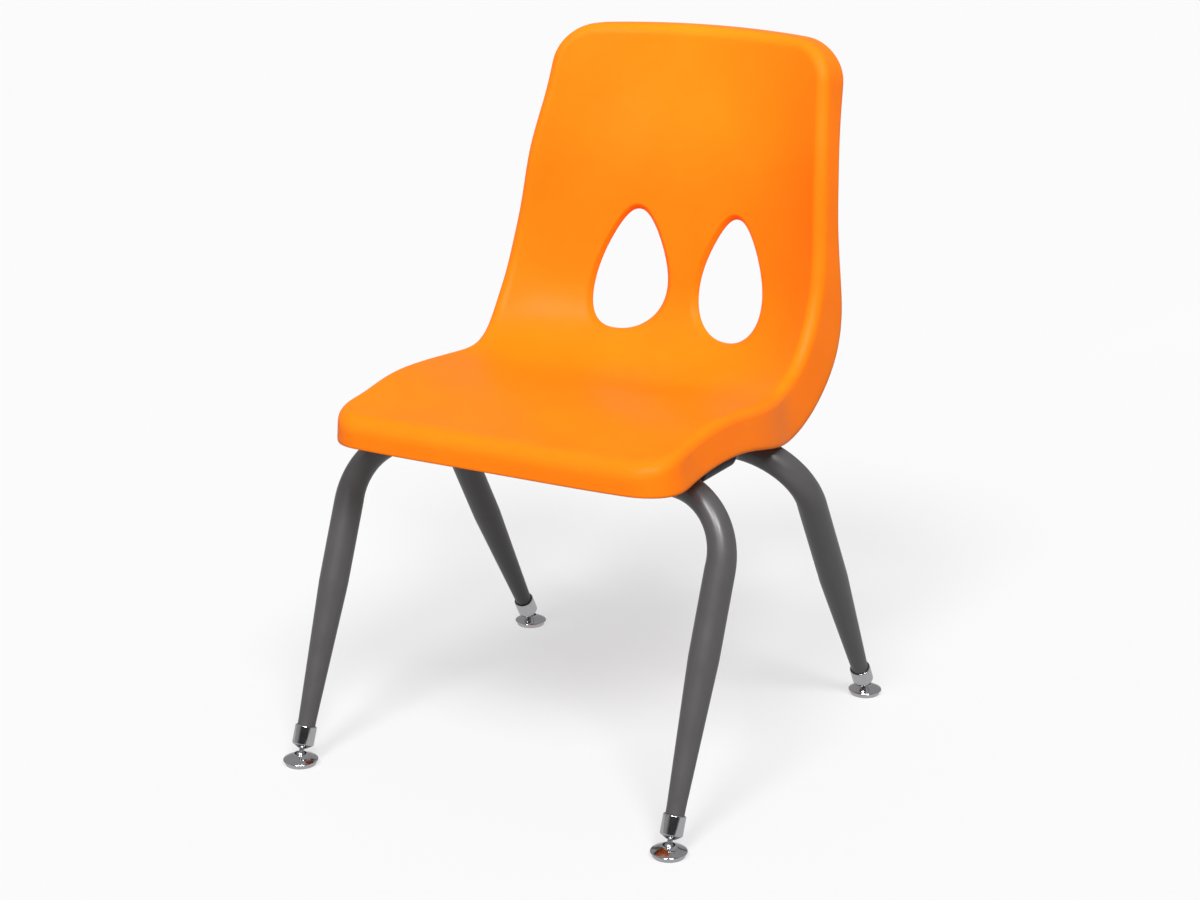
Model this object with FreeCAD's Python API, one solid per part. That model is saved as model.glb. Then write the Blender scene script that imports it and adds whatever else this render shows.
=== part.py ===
import FreeCAD, Part
import math
import os
from FreeCAD import Vector

# Stacking chair: a moulded one-piece shell on two bent-tube leg bows with ball-swivel glides.
# Millimetres. +X is the sitter's left, -Y the front, +Z up; z = 0 is the floor.
# The origin is the bottom centre of the whole chair's box.

# ---- driving dimensions -------------------------------------------------------------------
# Shell sections from the front lip to the top of the back. Each is the crest of the side
# roll (y, z), the crest's half-width, the depth of the dish between the two crests, and the
# depth of the skirt below the crest.
SHELL_SECTIONS = [
    (-199, 395.0, 192.0, 5, 40),     # front lip
    (-156, 400.5, 187.0, 9, 41),
    (-110, 406.5, 188.0, 12, 42),    # thighs
    (-35, 405.0, 192.0, 12, 43),
    (29, 400.5, 191.0, 14, 52),      # seat
    (64, 402.5, 184.0, 22, 58),
    (94, 415.0, 182.5, 40, 60),      # hip
    (119, 440.0, 183.0, 58, 62),
    (139, 472.0, 182.0, 60, 57),
    (152, 505.0, 180.5, 53, 43),     # small of the back
    (162, 545.0, 176.5, 49, 34),
    (173, 606.0, 171.0, 46, 32),
    (193, 673.0, 162.0, 37, 34),     # shoulders
    (209, 744.0, 156.5, 24, 40),     # top edge
]
SHELL_WALL = 4.5
DISH_POWER = 2.6            # the dish is flat in the middle and steep beside the crest
FRONT_BOW, FRONT_RISE, FRONT_REACH = -6.0, -2.0, 180.0
TOP_BOW, TOP_REACH = 8.0, 150.0
FRONT_CORNER, TOP_CORNER = 30.0, 34.0
SIDE_ROLL, FRONT_ROLL, TOP_ROLL = 10.0, 19.0, 12.0
FRONT_SKIRT, TOP_SKIRT = 32.0, 30.0
SKIRT_DRAFT = math.radians(83)
PANEL_INSET, PANEL_HALF = 60.0, 0.68
PANEL_STEPS_ALONG, PANEL_STEPS_ACROSS = 44, 18
EGG_X, EGG_Z, EGG_HALF_WIDTH, EGG_HALF_HEIGHT = 61.6, 479.7, 39.5, 64.3
EGG_TAPER, EGG_BLUNT = 0.38, 0.9     # narrowing towards the point, fullness of both ends
EGG_LEAN, LEAN_POWER = 5.3, 5.0      # the foot of each opening leans outwards

GLIDE_X = 225.0
FRONT_GLIDE_Y, REAR_GLIDE_Y = -246.0, 235.0
BALL_Z = 9.5
FRONT_LEAN, REAR_LEAN = math.radians(21.8), math.radians(-31.0)
TUBE_R, TUBE_WALL = 15.875, 1.65
FOOT_R = 9.75
TAPER_START, TAPER_END = 40.0, 190.0
LEG_END = 13.0                       # tube end above the ball centre, along the leg
BEND_R = 76.2
RUN_Z = 343.0                        # height of the bows' cross runs

RAIL_X, RAIL_R, RAIL_WALL = 160.0, 9.525, 1.5
BUMPER_LENGTH, BUMPER_R = 70.0, 13.0
BRACKET_X, BRACKET_WIDTH, BRACKET_LENGTH = 95.0, 32.0, 76.0
BRACKET_TOP, BRACKET_BOTTOM, BRACKET_WALL = 366.0, 347.0, 2.5
SCREW_OFFSET, SCREW_R, HEAD_R, HEAD_H = 27.0, 2.75, 5.5, 3.6
WASHER_R, WASHER_H = 7.5, 1.2
SCREW_REACH = 14.0
BOSS_R = 9.5

FERRULE_R, SLEEVE_R, FERRULE_TOP = 11.75, 10.8, 33.0
BALL_R, NECK_R, SHANK_R, SHANK_END = 5.25, 2.75, 3.5, 31.0
SOCKET_R, CUSHION_R, CUSHION_RISE = 5.35, 6.5, 1.6
RING_INNER, RING_R, RING_LOW, RING_HIGH = 6.75, 7.6, -2.5, 0.5
BASE_R, DISC_R, BASE_LIP_R = 19.0, 16.7, 16.2

os.makedirs("parts", exist_ok=True)


def write(name, shape):
    """Write one node's solids."""
    shape.exportStep("parts/%s.step" % name)


def revolve(outline, axis=Vector(0, 0, 1)):
    """Turn a closed (radius, height) outline about Z."""
    points = [Vector(r, 0, z) for r, z in outline]
    face = Part.Face(Part.makePolygon(points + points[:1]))
    return face.revolve(Vector(0, 0, 0), axis, 360)


def both(shape):
    """The mirror image of a shape across the chair's middle plane."""
    return shape.mirror(Vector(0, 0, 0), Vector(1, 0, 0))


# ---- shell surface ------------------------------------------------------------------------
def spline(stations, values):
    """A natural cubic spline through values at stations."""
    n = len(stations)
    h = [b - a for a, b in zip(stations, stations[1:])]
    diag = [1.0] * n
    rhs = [0.0] * n
    for i in range(1, n - 1):
        low = h[i - 1] if i > 1 else 0.0
        ratio = low / diag[i - 1]
        rhs[i] = 6 * ((values[i + 1] - values[i]) / h[i] - (values[i] - values[i - 1]) / h[i - 1])
        diag[i] = 2 * (h[i - 1] + h[i]) - ratio * h[i - 1]
        rhs[i] -= ratio * rhs[i - 1]
    bend = [0.0] * n
    for i in range(n - 2, 0, -1):
        bend[i] = (rhs[i] - h[i] * bend[i + 1]) / diag[i]

    def value(t):
        i = 0
        while i < n - 2 and t > stations[i + 1]:
            i += 1
        u = (t - stations[i]) / h[i]
        v = 1 - u
        cubic = (v ** 3 - v) * bend[i] + (u ** 3 - u) * bend[i + 1]
        return v * values[i] + u * values[i + 1] + h[i] ** 2 / 6 * cubic

    return value


STATIONS = [0.0]
for here, there in zip(SHELL_SECTIONS, SHELL_SECTIONS[1:]):
    STATIONS.append(STATIONS[-1] + math.hypot(there[0] - here[0], there[1] - here[1]))
LENGTH = STATIONS[-1]
crest_y, crest_z, half_width, dish, skirt = [
    spline(STATIONS, [section[k] for section in SHELL_SECTIONS]) for k in range(5)]


def profile_normal(s):
    """Unit normal of the crest line, towards the sitter."""
    dy = crest_y(s + 0.5) - crest_y(s - 0.5)
    dz = crest_z(s + 0.5) - crest_z(s - 0.5)
    return Vector(0, -dz, dy).normalize()


def sheet(s, q):
    """The dished sheet: s is the distance along the crest, q runs from -1 to 1 across."""
    front = max(0.0, 1 - s / FRONT_REACH) ** 2 * q * q
    top = max(0.0, 1 - (LENGTH - s) / TOP_REACH) ** 2 * q * q
    base = Vector(q * half_width(s), crest_y(s) + FRONT_BOW * front,
                  crest_z(s) + FRONT_RISE * front - TOP_BOW * top)
    return base - profile_normal(s) * (dish(s) * (1 - abs(q) ** DISH_POWER))


def sheet_normal(s, q):
    """Unit normal of the sheet, towards the sitter."""
    along = sheet(s + 0.5, q) - sheet(s - 0.5, q)
    across = sheet(s, q + 0.003) - sheet(s, q - 0.003)
    return across.cross(along).normalize()


def end_outline(t, corner, width):
    """Half-corner, straight end and half-corner: distance in from the end, q, and 1 on the end."""
    straight = width - corner
    reach = (2 * t - 1) * (straight + corner * math.pi / 4)
    if abs(reach) <= straight:
        return 0.0, reach / width, 1.0
    turn = (abs(reach) - straight) / corner
    q = 1 - corner / width * (1 - math.sin(turn))
    return corner * (1 - math.cos(turn)), math.copysign(q, reach), math.cos(turn) ** 2


def side_outline(t):
    """Half-corner, straight side and half-corner, from the front up: s, q, and 1 on an end."""
    arc_front = FRONT_CORNER * math.pi / 4
    arc_top = TOP_CORNER * math.pi / 4
    total = arc_front + arc_top + LENGTH - FRONT_CORNER - TOP_CORNER
    run = t * total
    if run < arc_front:
        turn = math.pi / 4 * (1 - run / arc_front)
        q = 1 - FRONT_CORNER / half_width(0) * (1 - math.cos(turn))
        return FRONT_CORNER * (1 - math.sin(turn)), q, math.sin(turn) ** 2
    if run > total - arc_top:
        turn = math.pi / 4 * (1 - (total - run) / arc_top)
        q = 1 - TOP_CORNER / half_width(LENGTH) * (1 - math.cos(turn))
        return LENGTH - TOP_CORNER * (1 - math.sin(turn)), q, math.sin(turn) ** 2
    return run - arc_front + FRONT_CORNER, 1.0, 0.0


def outline(sector, t):
    """The rim of the sheet in four sectors, counter-clockwise: front, +X side, top, -X side."""
    if sector == 0:
        return end_outline(t, FRONT_CORNER, half_width(0))
    if sector == 2:
        s, q, end = end_outline(t, TOP_CORNER, half_width(LENGTH))
        return LENGTH - s, -q, end
    s, q, end = side_outline(t if sector == 1 else 1 - t)
    return s, (q if sector == 1 else -q), end


def panel_edge(sector, t):
    """The middle panel's edge, a rectangle in s and q, in the same four sectors."""
    if sector == 0:
        return PANEL_INSET, (2 * t - 1) * PANEL_HALF
    if sector == 2:
        return LENGTH - PANEL_INSET, (1 - 2 * t) * PANEL_HALF
    s = PANEL_INSET + (LENGTH - 2 * PANEL_INSET) * (t if sector == 1 else 1 - t)
    return s, (PANEL_HALF if sector == 1 else -PANEL_HALF)


def rim_column(sector, t, depth):
    """Points from the panel's edge outwards, over the roll and down the skirt.

    depth is how far below the sitting side they lie: nothing, or the wall.
    """
    step = 0.002
    s, q, end = outline(sector, t)
    ahead = outline(sector, t + step) if t + step <= 1 else outline((sector + 1) % 4, t + step - 1)
    behind = outline(sector, t - step) if t >= step else outline((sector - 1) % 4, 1 + t - step)
    along = (sheet(ahead[0], ahead[1]) - sheet(behind[0], behind[1])).normalize()
    up = profile_normal(s)
    up = (up - along * up.dot(along)).normalize()
    out = along.cross(up).normalize()
    slope_out = along.cross(sheet_normal(s, q)).normalize()
    slope = math.atan2(slope_out.dot(up), slope_out.dot(out))
    front = s < LENGTH / 2
    roll = SIDE_ROLL + ((FRONT_ROLL if front else TOP_ROLL) - SIDE_ROLL) * end
    fall = skirt(s) + ((FRONT_SKIRT if front else TOP_SKIRT) - skirt(s)) * end
    points = []
    s_in, q_in = panel_edge(sector, t)
    for part in (0.0, 0.4, 0.75, 0.92):
        s_at = s_in + (s - s_in) * part
        q_at = q_in + (q - q_in) * part
        points.append(sheet(s_at, q_at) - sheet_normal(s_at, q_at) * depth)
    centre = sheet(s, q) + (out * math.sin(slope) - up * math.cos(slope)) * roll
    for i in range(8):
        angle = -slope + (SKIRT_DRAFT + slope) * i / 7
        points.append(centre + (out * math.sin(angle) + up * math.cos(angle)) * (roll - depth))
    down = out * math.cos(SKIRT_DRAFT) - up * math.sin(SKIRT_DRAFT)
    length = (fall - roll * (1 - math.cos(SKIRT_DRAFT))) / math.sin(SKIRT_DRAFT)
    start = points[-1]
    for i in range(1, 4):
        points.append(start + down * (length * i / 3))
    return points


def smooth_face(grid):
    """A cubic B-spline face over a grid of poles; faces that share edge poles share the edge."""
    def knots(count):
        inner = count - 3
        return [4] + [1] * (inner - 1) + [4], [float(k) for k in range(inner + 1)]

    u_mult, u_knots = knots(len(grid))
    v_mult, v_knots = knots(len(grid[0]))
    surface = Part.BSplineSurface()
    surface.buildFromPolesMultsKnots(grid, u_mult, v_mult, u_knots, v_knots, False, False, 3, 3)
    return surface.toShape()


def sector_count(sector):
    """Columns in a sector: as many as the panel's edge beside it."""
    return PANEL_STEPS_ACROSS if sector in (0, 2) else PANEL_STEPS_ALONG


def shell_skin(depth):
    """Five faces of one side of the shell, and the four bottom edges of its skirt."""
    panel = []
    for i in range(PANEL_STEPS_ALONG + 1):
        s = PANEL_INSET + (LENGTH - 2 * PANEL_INSET) * i / PANEL_STEPS_ALONG
        row = [PANEL_HALF * (2 * j / PANEL_STEPS_ACROSS - 1) for j in range(PANEL_STEPS_ACROSS + 1)]
        panel.append([sheet(s, q) - sheet_normal(s, q) * depth for q in row])
    faces = [smooth_face(panel)]
    rims = []
    for sector in range(4):
        count = sector_count(sector)
        grid = [rim_column(sector, i / count, depth) for i in range(count + 1)]
        faces.append(smooth_face(grid))
        rims.append([column[-1] for column in grid])
    return faces, rims


def egg(side):
    """An egg-shaped cutter through the back, point up."""
    points = []
    for k in range(16):
        turn = 2 * math.pi * k / 16
        lean = EGG_LEAN * ((1 - math.sin(turn)) / 2) ** LEAN_POWER
        across = math.copysign(abs(math.cos(turn)) ** EGG_BLUNT, math.cos(turn))
        x = EGG_X + lean + EGG_HALF_WIDTH * across * (1 - EGG_TAPER * math.sin(turn))
        points.append(Vector(side * x, 100, EGG_Z + EGG_HALF_HEIGHT * math.sin(turn)))
    curve = Part.BSplineCurve()
    curve.interpolate(points, PeriodicFlag=True)
    return Part.Face(Part.Wire(curve.toShape())).extrude(Vector(0, 180, 0))


def make_shell_body():
    """The moulded wall alone, closed and with both openings cut."""
    top_faces, top_rims = shell_skin(0.0)
    low_faces, low_rims = shell_skin(SHELL_WALL)
    lips = [smooth_lip(a, b) for a, b in zip(top_rims, low_rims)]
    sewn = Part.makeShell(top_faces + low_faces + lips)
    sewn.sewShape(0.02)
    solid = Part.makeSolid(sewn)
    if solid.Volume < 0:
        solid.reverse()
    for side in (-1, 1):
        solid = solid.cut(egg(side))
    return solid.Solids[0]


def smooth_lip(outer, inner):
    """The strip that closes the skirt's bottom edge between its two skins."""
    def curve(points):
        inner_knots = len(points) - 3
        mult = [4] + [1] * (inner_knots - 1) + [4]
        line = Part.BSplineCurve()
        line.buildFromPolesMultsKnots(points, mult, [float(k) for k in range(inner_knots + 1)], False, 3)
        return line.toShape()

    return Part.makeRuledSurface(curve(outer), curve(inner))


# ---- frame --------------------------------------------------------------------------------
FEET = {
    "front_left": (1, FRONT_GLIDE_Y, FRONT_LEAN),
    "front_right": (-1, FRONT_GLIDE_Y, FRONT_LEAN),
    "rear_left": (1, REAR_GLIDE_Y, REAR_LEAN),
    "rear_right": (-1, REAR_GLIDE_Y, REAR_LEAN),
}


def run_y(glide_y, lean):
    """Where a bow's cross run lies, front to back."""
    return glide_y + (RUN_Z - BALL_Z) * math.tan(lean)


def lean_into_place(shape, x, glide_y, lean):
    """Turn a shape built upright at a ball centre along its leg, and move it there."""
    shape = shape.copy()
    shape.rotate(Vector(0, 0, 0), Vector(1, 0, 0), -math.degrees(lean))
    shape.translate(Vector(x, glide_y, BALL_Z))
    return shape


def bow_bar(lean, shrink):
    """A bow as a solid bar in its own plane, its radius less by shrink."""
    run = (RUN_Z - BALL_Z) / math.cos(lean)
    bend = run - BEND_R
    big = TUBE_R - shrink
    small = FOOT_R - shrink
    leg = revolve([(0, LEG_END), (small, LEG_END), (small, TAPER_START), (big, TAPER_END),
                   (big, bend), (0, bend)])
    leg.translate(Vector(GLIDE_X, 0, 0))
    circle = Part.Face(Part.Wire(Part.makeCircle(big, Vector(GLIDE_X, 0, bend), Vector(0, 0, 1))))
    turn = circle.revolve(Vector(GLIDE_X - BEND_R, 0, bend), Vector(0, -1, 0), 90)
    span = 2 * (GLIDE_X - BEND_R)
    cross = Part.makeCylinder(big, span, Vector(-span / 2, 0, run), Vector(1, 0, 0))
    return cross.multiFuse([leg, turn, both(leg), both(turn)]).removeSplitter()


def make_bow(glide_y, lean):
    """A leg bow's tube, and the solid bar of its outside for coping."""
    outside = bow_bar(lean, 0.0)
    tube = outside.cut(bow_bar(lean, TUBE_WALL))
    return [lean_into_place(shape, 0, glide_y, lean) for shape in (tube, outside)]


def make_rail(front_bar, rear_bar):
    """The left side rail, coped to both bows."""
    start = run_y(FRONT_GLIDE_Y, FRONT_LEAN)
    length = run_y(REAR_GLIDE_Y, REAR_LEAN) - start
    at = Vector(RAIL_X, start, RUN_Z)
    along = Vector(0, 1, 0)
    rail = Part.makeCylinder(RAIL_R, length, at, along)
    rail = rail.cut(Part.makeCylinder(RAIL_R - RAIL_WALL, length, at, along))
    rail = rail.cut(front_bar).cut(rear_bar)
    return max(rail.Solids, key=lambda solid: solid.Volume)


def make_bumper():
    """The left stacking bumper: a half sleeve clipped under the rail."""
    middle = (run_y(FRONT_GLIDE_Y, FRONT_LEAN) + run_y(REAR_GLIDE_Y, REAR_LEAN)) / 2
    at = Vector(RAIL_X, middle - BUMPER_LENGTH / 2, RUN_Z)
    along = Vector(0, 1, 0)
    sleeve = Part.makeCylinder(BUMPER_R, BUMPER_LENGTH, at, along)
    sleeve = sleeve.cut(Part.makeCylinder(RAIL_R, BUMPER_LENGTH, at, along))
    above = Part.makeBox(4 * BUMPER_R, BUMPER_LENGTH, BUMPER_R)
    above.translate(Vector(RAIL_X - 2 * BUMPER_R, at.y, RUN_Z + 2))
    return sleeve.cut(above)


def screw_places():
    """Each shell screw: its side, and its place front to back."""
    places = []
    for glide_y, lean in ((FRONT_GLIDE_Y, FRONT_LEAN), (REAR_GLIDE_Y, REAR_LEAN)):
        for step in (-1, 1):
            places.append(run_y(glide_y, lean) + step * SCREW_OFFSET)
    return [(side * BRACKET_X, y) for side in (1, -1) for y in places]


def make_bracket(glide_y, lean, bar):
    """A left seat bracket: a hat channel across a bow, coped over the tube."""
    y = run_y(glide_y, lean)
    height = BRACKET_TOP - BRACKET_BOTTOM
    corner = Vector(BRACKET_X - BRACKET_WIDTH / 2, y - BRACKET_LENGTH / 2, BRACKET_BOTTOM)
    block = Part.makeBox(BRACKET_WIDTH, BRACKET_LENGTH, height, corner)
    inside = Part.makeBox(BRACKET_WIDTH - 2 * BRACKET_WALL, BRACKET_LENGTH, height - BRACKET_WALL,
                          corner + Vector(BRACKET_WALL, 0, 0))
    bracket = block.cut(inside).cut(bar)
    for step in (-1, 1):
        at = Vector(BRACKET_X, y + step * SCREW_OFFSET, BRACKET_BOTTOM)
        bracket = bracket.cut(Part.makeCylinder(SCREW_R, height, at))
    return bracket.Solids[0]


def make_screw(x, y):
    """A pan-head screw up through a bracket into its boss."""
    plate = BRACKET_TOP - BRACKET_WALL - WASHER_H
    head = Part.makeCylinder(HEAD_R, HEAD_H, Vector(x, y, plate - HEAD_H))
    head = head.makeFillet(1.4, [edge for edge in head.Edges if edge.BoundBox.ZMax < plate - HEAD_H + 0.1])
    shank = Part.makeCylinder(SCREW_R, BRACKET_TOP + SCREW_REACH - plate, Vector(x, y, plate))
    return head.fuse(shank).removeSplitter()


def make_washer(x, y):
    """The washer between a screw's head and its bracket."""
    at = Vector(x, y, BRACKET_TOP - BRACKET_WALL - WASHER_H)
    return Part.makeCylinder(WASHER_R, WASHER_H, at).cut(Part.makeCylinder(SCREW_R, WASHER_H, at))


def make_shell():
    """The shell with the screw bosses moulded under its seat."""
    body = make_shell_body()
    bosses = []
    for x, y in screw_places():
        boss = Part.makeCylinder(BOSS_R, 60, Vector(x, y, BRACKET_TOP))
        parts = boss.cut(body).Solids
        below = min(parts, key=lambda solid: solid.CenterOfMass.z)
        bosses.append(below.cut(Part.makeCylinder(SCREW_R, SCREW_REACH, Vector(x, y, BRACKET_TOP))))
    return body.multiFuse(bosses)


# ---- glides -------------------------------------------------------------------------------
def make_ferrule():
    """The chromed cap on a leg's end, with a coned bottom round the stud's neck."""
    bottom = [(NECK_R + 0.05, 8.2), (4.9, 8.2), (10.6, 11.6), (FERRULE_R, 12.9)]
    top = [(FERRULE_R, FERRULE_TOP - 0.7), (FERRULE_R - 0.6, FERRULE_TOP), (SLEEVE_R, FERRULE_TOP)]
    inside = [(SLEEVE_R, 12.9), (NECK_R + 0.05, 11.0)]
    return revolve(bottom + top + inside)


def make_liner():
    """The nylon cup that lines the ferrule, with a plug up the leg that grips the stud."""
    bore = FOOT_R - TUBE_WALL
    inner = [(SHANK_R, 11.35), (SLEEVE_R, 12.9), (SLEEVE_R, FERRULE_TOP - 0.4)]
    outer = [(FOOT_R, FERRULE_TOP - 0.4), (FOOT_R, LEG_END), (bore, LEG_END), (bore, 32.0)]
    return revolve(inner + outer + [(SHANK_R, 32.0)])


def make_stud():
    """The ball, its neck, and the shank up the plug."""
    ball = Part.makeSphere(BALL_R)
    neck = Part.makeCylinder(NECK_R, 12.0)
    shank = Part.makeCylinder(SHANK_R, SHANK_END - 11.35, Vector(0, 0, 11.35))
    return ball.multiFuse([neck, shank]).removeSplitter()


def make_cushion():
    """The nylon socket round the ball."""
    cup = Part.makeSphere(CUSHION_R).cut(Part.makeSphere(SOCKET_R))
    above = Part.makeBox(20, 20, 10, Vector(-10, -10, CUSHION_RISE))
    return cup.cut(above)


def make_ring():
    """The retaining ring round the socket."""
    ring = Part.makeCylinder(RING_R, RING_HIGH - RING_LOW, Vector(0, 0, RING_LOW))
    return ring.cut(Part.makeSphere(RING_INNER))


def make_base():
    """The domed glide base with its collar and rolled rim; heights from the floor."""
    outside = [(6.4, 12.4), (7.1, 12.4), (7.4, 12.0), (7.4, 11.3), (9.0, 10.8), (14.0, 8.6),
               (18.3, 6.5), (BASE_R, 5.7), (18.9, 5.0), (18.3, 4.2), (17.4, 3.7), (BASE_LIP_R, 3.6)]
    inside = [(BASE_LIP_R, 4.3), (17.3, 4.7), (17.6, 5.4), (13.6, 7.5), (8.6, 9.8), (7.8, 10.5),
              (6.4, 11.4)]
    shape = revolve(outside + inside)
    shape.translate(Vector(0, 0, -BALL_Z))
    return shape


def make_disc():
    """The wear disc in the base; its flat bottom is the chair's footing."""
    outline_points = [(0, 0), (DISC_R - 0.8, 0), (DISC_R, 0.8), (DISC_R, 3.6), (BASE_LIP_R, 3.6),
                      (BASE_LIP_R, 4.3), (16.8, 4.7), (16.8, 4.9), (9.0, 2.6), (0, 2.6)]
    shape = revolve(outline_points)
    shape.translate(Vector(0, 0, -BALL_Z))
    return shape


# ---- build --------------------------------------------------------------------------------
front_bow, front_bar = make_bow(FRONT_GLIDE_Y, FRONT_LEAN)
rear_bow, rear_bar = make_bow(REAR_GLIDE_Y, REAR_LEAN)
write("front_leg_bow", front_bow)
write("rear_leg_bow", rear_bow)
write("seat_shell", make_shell())

rail = make_rail(front_bar, rear_bar)
bumper = make_bumper()
front_bracket = make_bracket(FRONT_GLIDE_Y, FRONT_LEAN, front_bar)
rear_bracket = make_bracket(REAR_GLIDE_Y, REAR_LEAN, rear_bar)
for name, shape in (("%s_side_rail", rail), ("%s_stack_bumper", bumper),
                    ("front_%s_bracket", front_bracket), ("rear_%s_bracket", rear_bracket)):
    write(name % "left", shape)
    write(name % "right", both(shape))

write("shell_screws", Part.makeCompound([make_screw(x, y) for x, y in screw_places()]))
write("shell_washers", Part.makeCompound([make_washer(x, y) for x, y in screw_places()]))

on_the_leg = {"ferrule": make_ferrule(), "liner": make_liner(), "ball_stud": make_stud()}
on_the_floor = {"cushion": make_cushion(), "ring": make_ring(), "base": make_base(),
                "wear_disc": make_disc()}
for foot, (side, glide_y, lean) in FEET.items():
    for piece, shape in on_the_leg.items():
        write("%s_%s" % (foot, piece), lean_into_place(shape, side * GLIDE_X, glide_y, lean))
    for piece, shape in on_the_floor.items():
        write("%s_%s" % (foot, piece), lean_into_place(shape, side * GLIDE_X, glide_y, 0.0))
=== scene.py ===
"""Stacking chair: a one-piece moulded shell on two bent-tube leg bows with swivel glides.

The chair's sizes are millimetres and the studio's metres. Meshes are written in metres, in
the chair's own frame: +X is the sitter's left, -Y the front, +Z up, and z = 0 is the floor.
"""

import logging
import math
from collections.abc import Iterable, Sequence
from dataclasses import dataclass
from enum import Enum

import bmesh
import bpy
from mathutils import Euler, Matrix, Vector


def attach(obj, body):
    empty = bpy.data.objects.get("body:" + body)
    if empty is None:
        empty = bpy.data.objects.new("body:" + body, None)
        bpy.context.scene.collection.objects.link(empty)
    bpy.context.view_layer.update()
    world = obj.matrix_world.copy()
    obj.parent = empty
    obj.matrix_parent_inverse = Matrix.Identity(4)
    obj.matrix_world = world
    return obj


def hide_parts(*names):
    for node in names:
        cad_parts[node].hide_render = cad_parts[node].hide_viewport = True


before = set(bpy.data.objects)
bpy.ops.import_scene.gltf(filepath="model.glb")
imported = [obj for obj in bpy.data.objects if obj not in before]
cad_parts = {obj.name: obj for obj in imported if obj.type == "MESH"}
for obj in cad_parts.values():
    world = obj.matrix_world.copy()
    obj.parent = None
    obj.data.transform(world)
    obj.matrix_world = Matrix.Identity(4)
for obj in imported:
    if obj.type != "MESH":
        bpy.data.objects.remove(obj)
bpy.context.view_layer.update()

MM = 0.001
CREASE = 38.0               # degrees: an edge sharper than this stays sharp
SAME_PLACE = 1e-6           # metres: points closer than this are one
ON_AXIS = 1e-9              # millimetres: a corner closer to the axis than this is on it
EDGE_SHARE = 0.45           # the most of an edge that one corner's arc takes
HALVINGS = 32               # steps of a search along the shell, far finer than any size here
log = logging.getLogger("stacking_chair")

Outline = Sequence[tuple[float, float]]
Grid = Sequence[Sequence[Vector]]


class Slot(Enum):
    """The record's material slots."""

    SHELL = "shell_polypropylene"
    ENAMEL = "frame_enamel"
    CHROME = "glide_chrome"
    NYLON = "black_nylon"
    ZINC = "zinc_steel"


class Foot(Enum):
    """The four feet: name, side (1 is the sitter's left) and whether it is on the front bow."""

    FRONT_LEFT = ("front_left", 1, True)
    FRONT_RIGHT = ("front_right", -1, True)
    REAR_LEFT = ("rear_left", 1, False)
    REAR_RIGHT = ("rear_right", -1, False)


class Sector(Enum):
    """The four stretches of the shell's rim, in order round the sheet."""

    FRONT = 0
    LEFT = 1
    TOP = 2
    RIGHT = 3


# ---- nodes and materials ------------------------------------------------------------------
def linear(code: str) -> tuple[float, float, float, float]:
    """Turn an sRGB hex colour to linear light.

    Args:
        code: six hex digits after a hash.

    Returns:
        Linear red, green, blue and an alpha of 1.
    """
    parts = [int(code[i:i + 2], 16) / 255 for i in (1, 3, 5)]
    red, green, blue = (p / 12.92 if p <= 0.04045 else ((p + 0.055) / 1.055) ** 2.4 for p in parts)
    return red, green, blue, 1.0


def add(tree: bpy.types.NodeTree, kind: str, inputs: dict | None = None,
        **settings: object) -> bpy.types.Node:
    """Add a node with its settings, and fill or link its inputs.

    Args:
        tree: the tree that gets the node.
        kind: the node's type.
        inputs: socket name or number, to a plain value or to an output to link.
        settings: the node's own properties.

    Returns:
        The new node.
    """
    made = tree.nodes.new(kind)
    for name, value in settings.items():
        setattr(made, name, value)
    for key, value in (inputs or {}).items():
        if isinstance(value, bpy.types.NodeSocket):
            tree.links.new(value, made.inputs[key])
        else:
            made.inputs[key].default_value = value
    return made


def per_metre(size: float) -> float:
    """A noise scale whose features are about this many millimetres across."""
    return 1.0 / (size * MM)


@dataclass(frozen=True)
class Finish:
    """A surface: its name, colours, and the sizes of what varies on it, in millimetres."""

    name: str
    slot: Slot
    colour: str
    shade: str
    metallic: float
    roughness: tuple[float, float]
    mottle: float
    grain: float
    grain_depth: float

    def extras(self) -> dict[str, object]:
        """Constants for the surface shader that only this finish has."""
        return {}

    def dressed_height(self, tree: bpy.types.NodeTree,
                       place: bpy.types.NodeSocket) -> bpy.types.NodeSocket:
        """The height that the bump follows: the fine grain alone.

        Args:
            tree: the material's tree.
            place: object coordinates.

        Returns:
            A height between 0 and 1.
        """
        grain = add(tree, "ShaderNodeTexNoise", {
            "Vector": place, "Scale": per_metre(self.grain), "Detail": 3.0, "Roughness": 0.55})
        return grain.outputs["Fac"]

    def build(self) -> bpy.types.Material:
        """Make the material.

        Returns:
            The material, its colour and roughness mottled and its grain in the bump.
        """
        material = bpy.data.materials.new(self.name)
        material.use_nodes = True
        tree = material.node_tree
        tree.nodes.clear()
        place = add(tree, "ShaderNodeTexCoord").outputs["Object"]
        mottle = add(tree, "ShaderNodeTexNoise", {
            "Vector": place, "Scale": per_metre(self.mottle), "Detail": 4.0, "Roughness": 0.6})
        spread = add(tree, "ShaderNodeMapRange", {
            "Value": mottle.outputs["Fac"], "From Min": 0.3, "From Max": 0.7})
        mix = add(tree, "ShaderNodeMix", {
            0: spread.outputs["Result"], 6: linear(self.shade), 7: linear(self.colour)},
            data_type="RGBA")
        low, high = self.roughness
        gloss = add(tree, "ShaderNodeMapRange", {
            "Value": mottle.outputs["Fac"], "From Min": 0.3, "From Max": 0.7,
            "To Min": low, "To Max": high})
        bump = add(tree, "ShaderNodeBump", {
            "Height": self.dressed_height(tree, place), "Strength": 1.0,
            "Distance": self.grain_depth * MM})
        surface = add(tree, "ShaderNodeBsdfPrincipled", {
            "Base Color": mix.outputs[2], "Roughness": gloss.outputs["Result"],
            "Normal": bump.outputs["Normal"], "Metallic": self.metallic, **self.extras()})
        add(tree, "ShaderNodeOutputMaterial", {"Surface": surface.outputs["BSDF"]})
        return material


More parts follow.
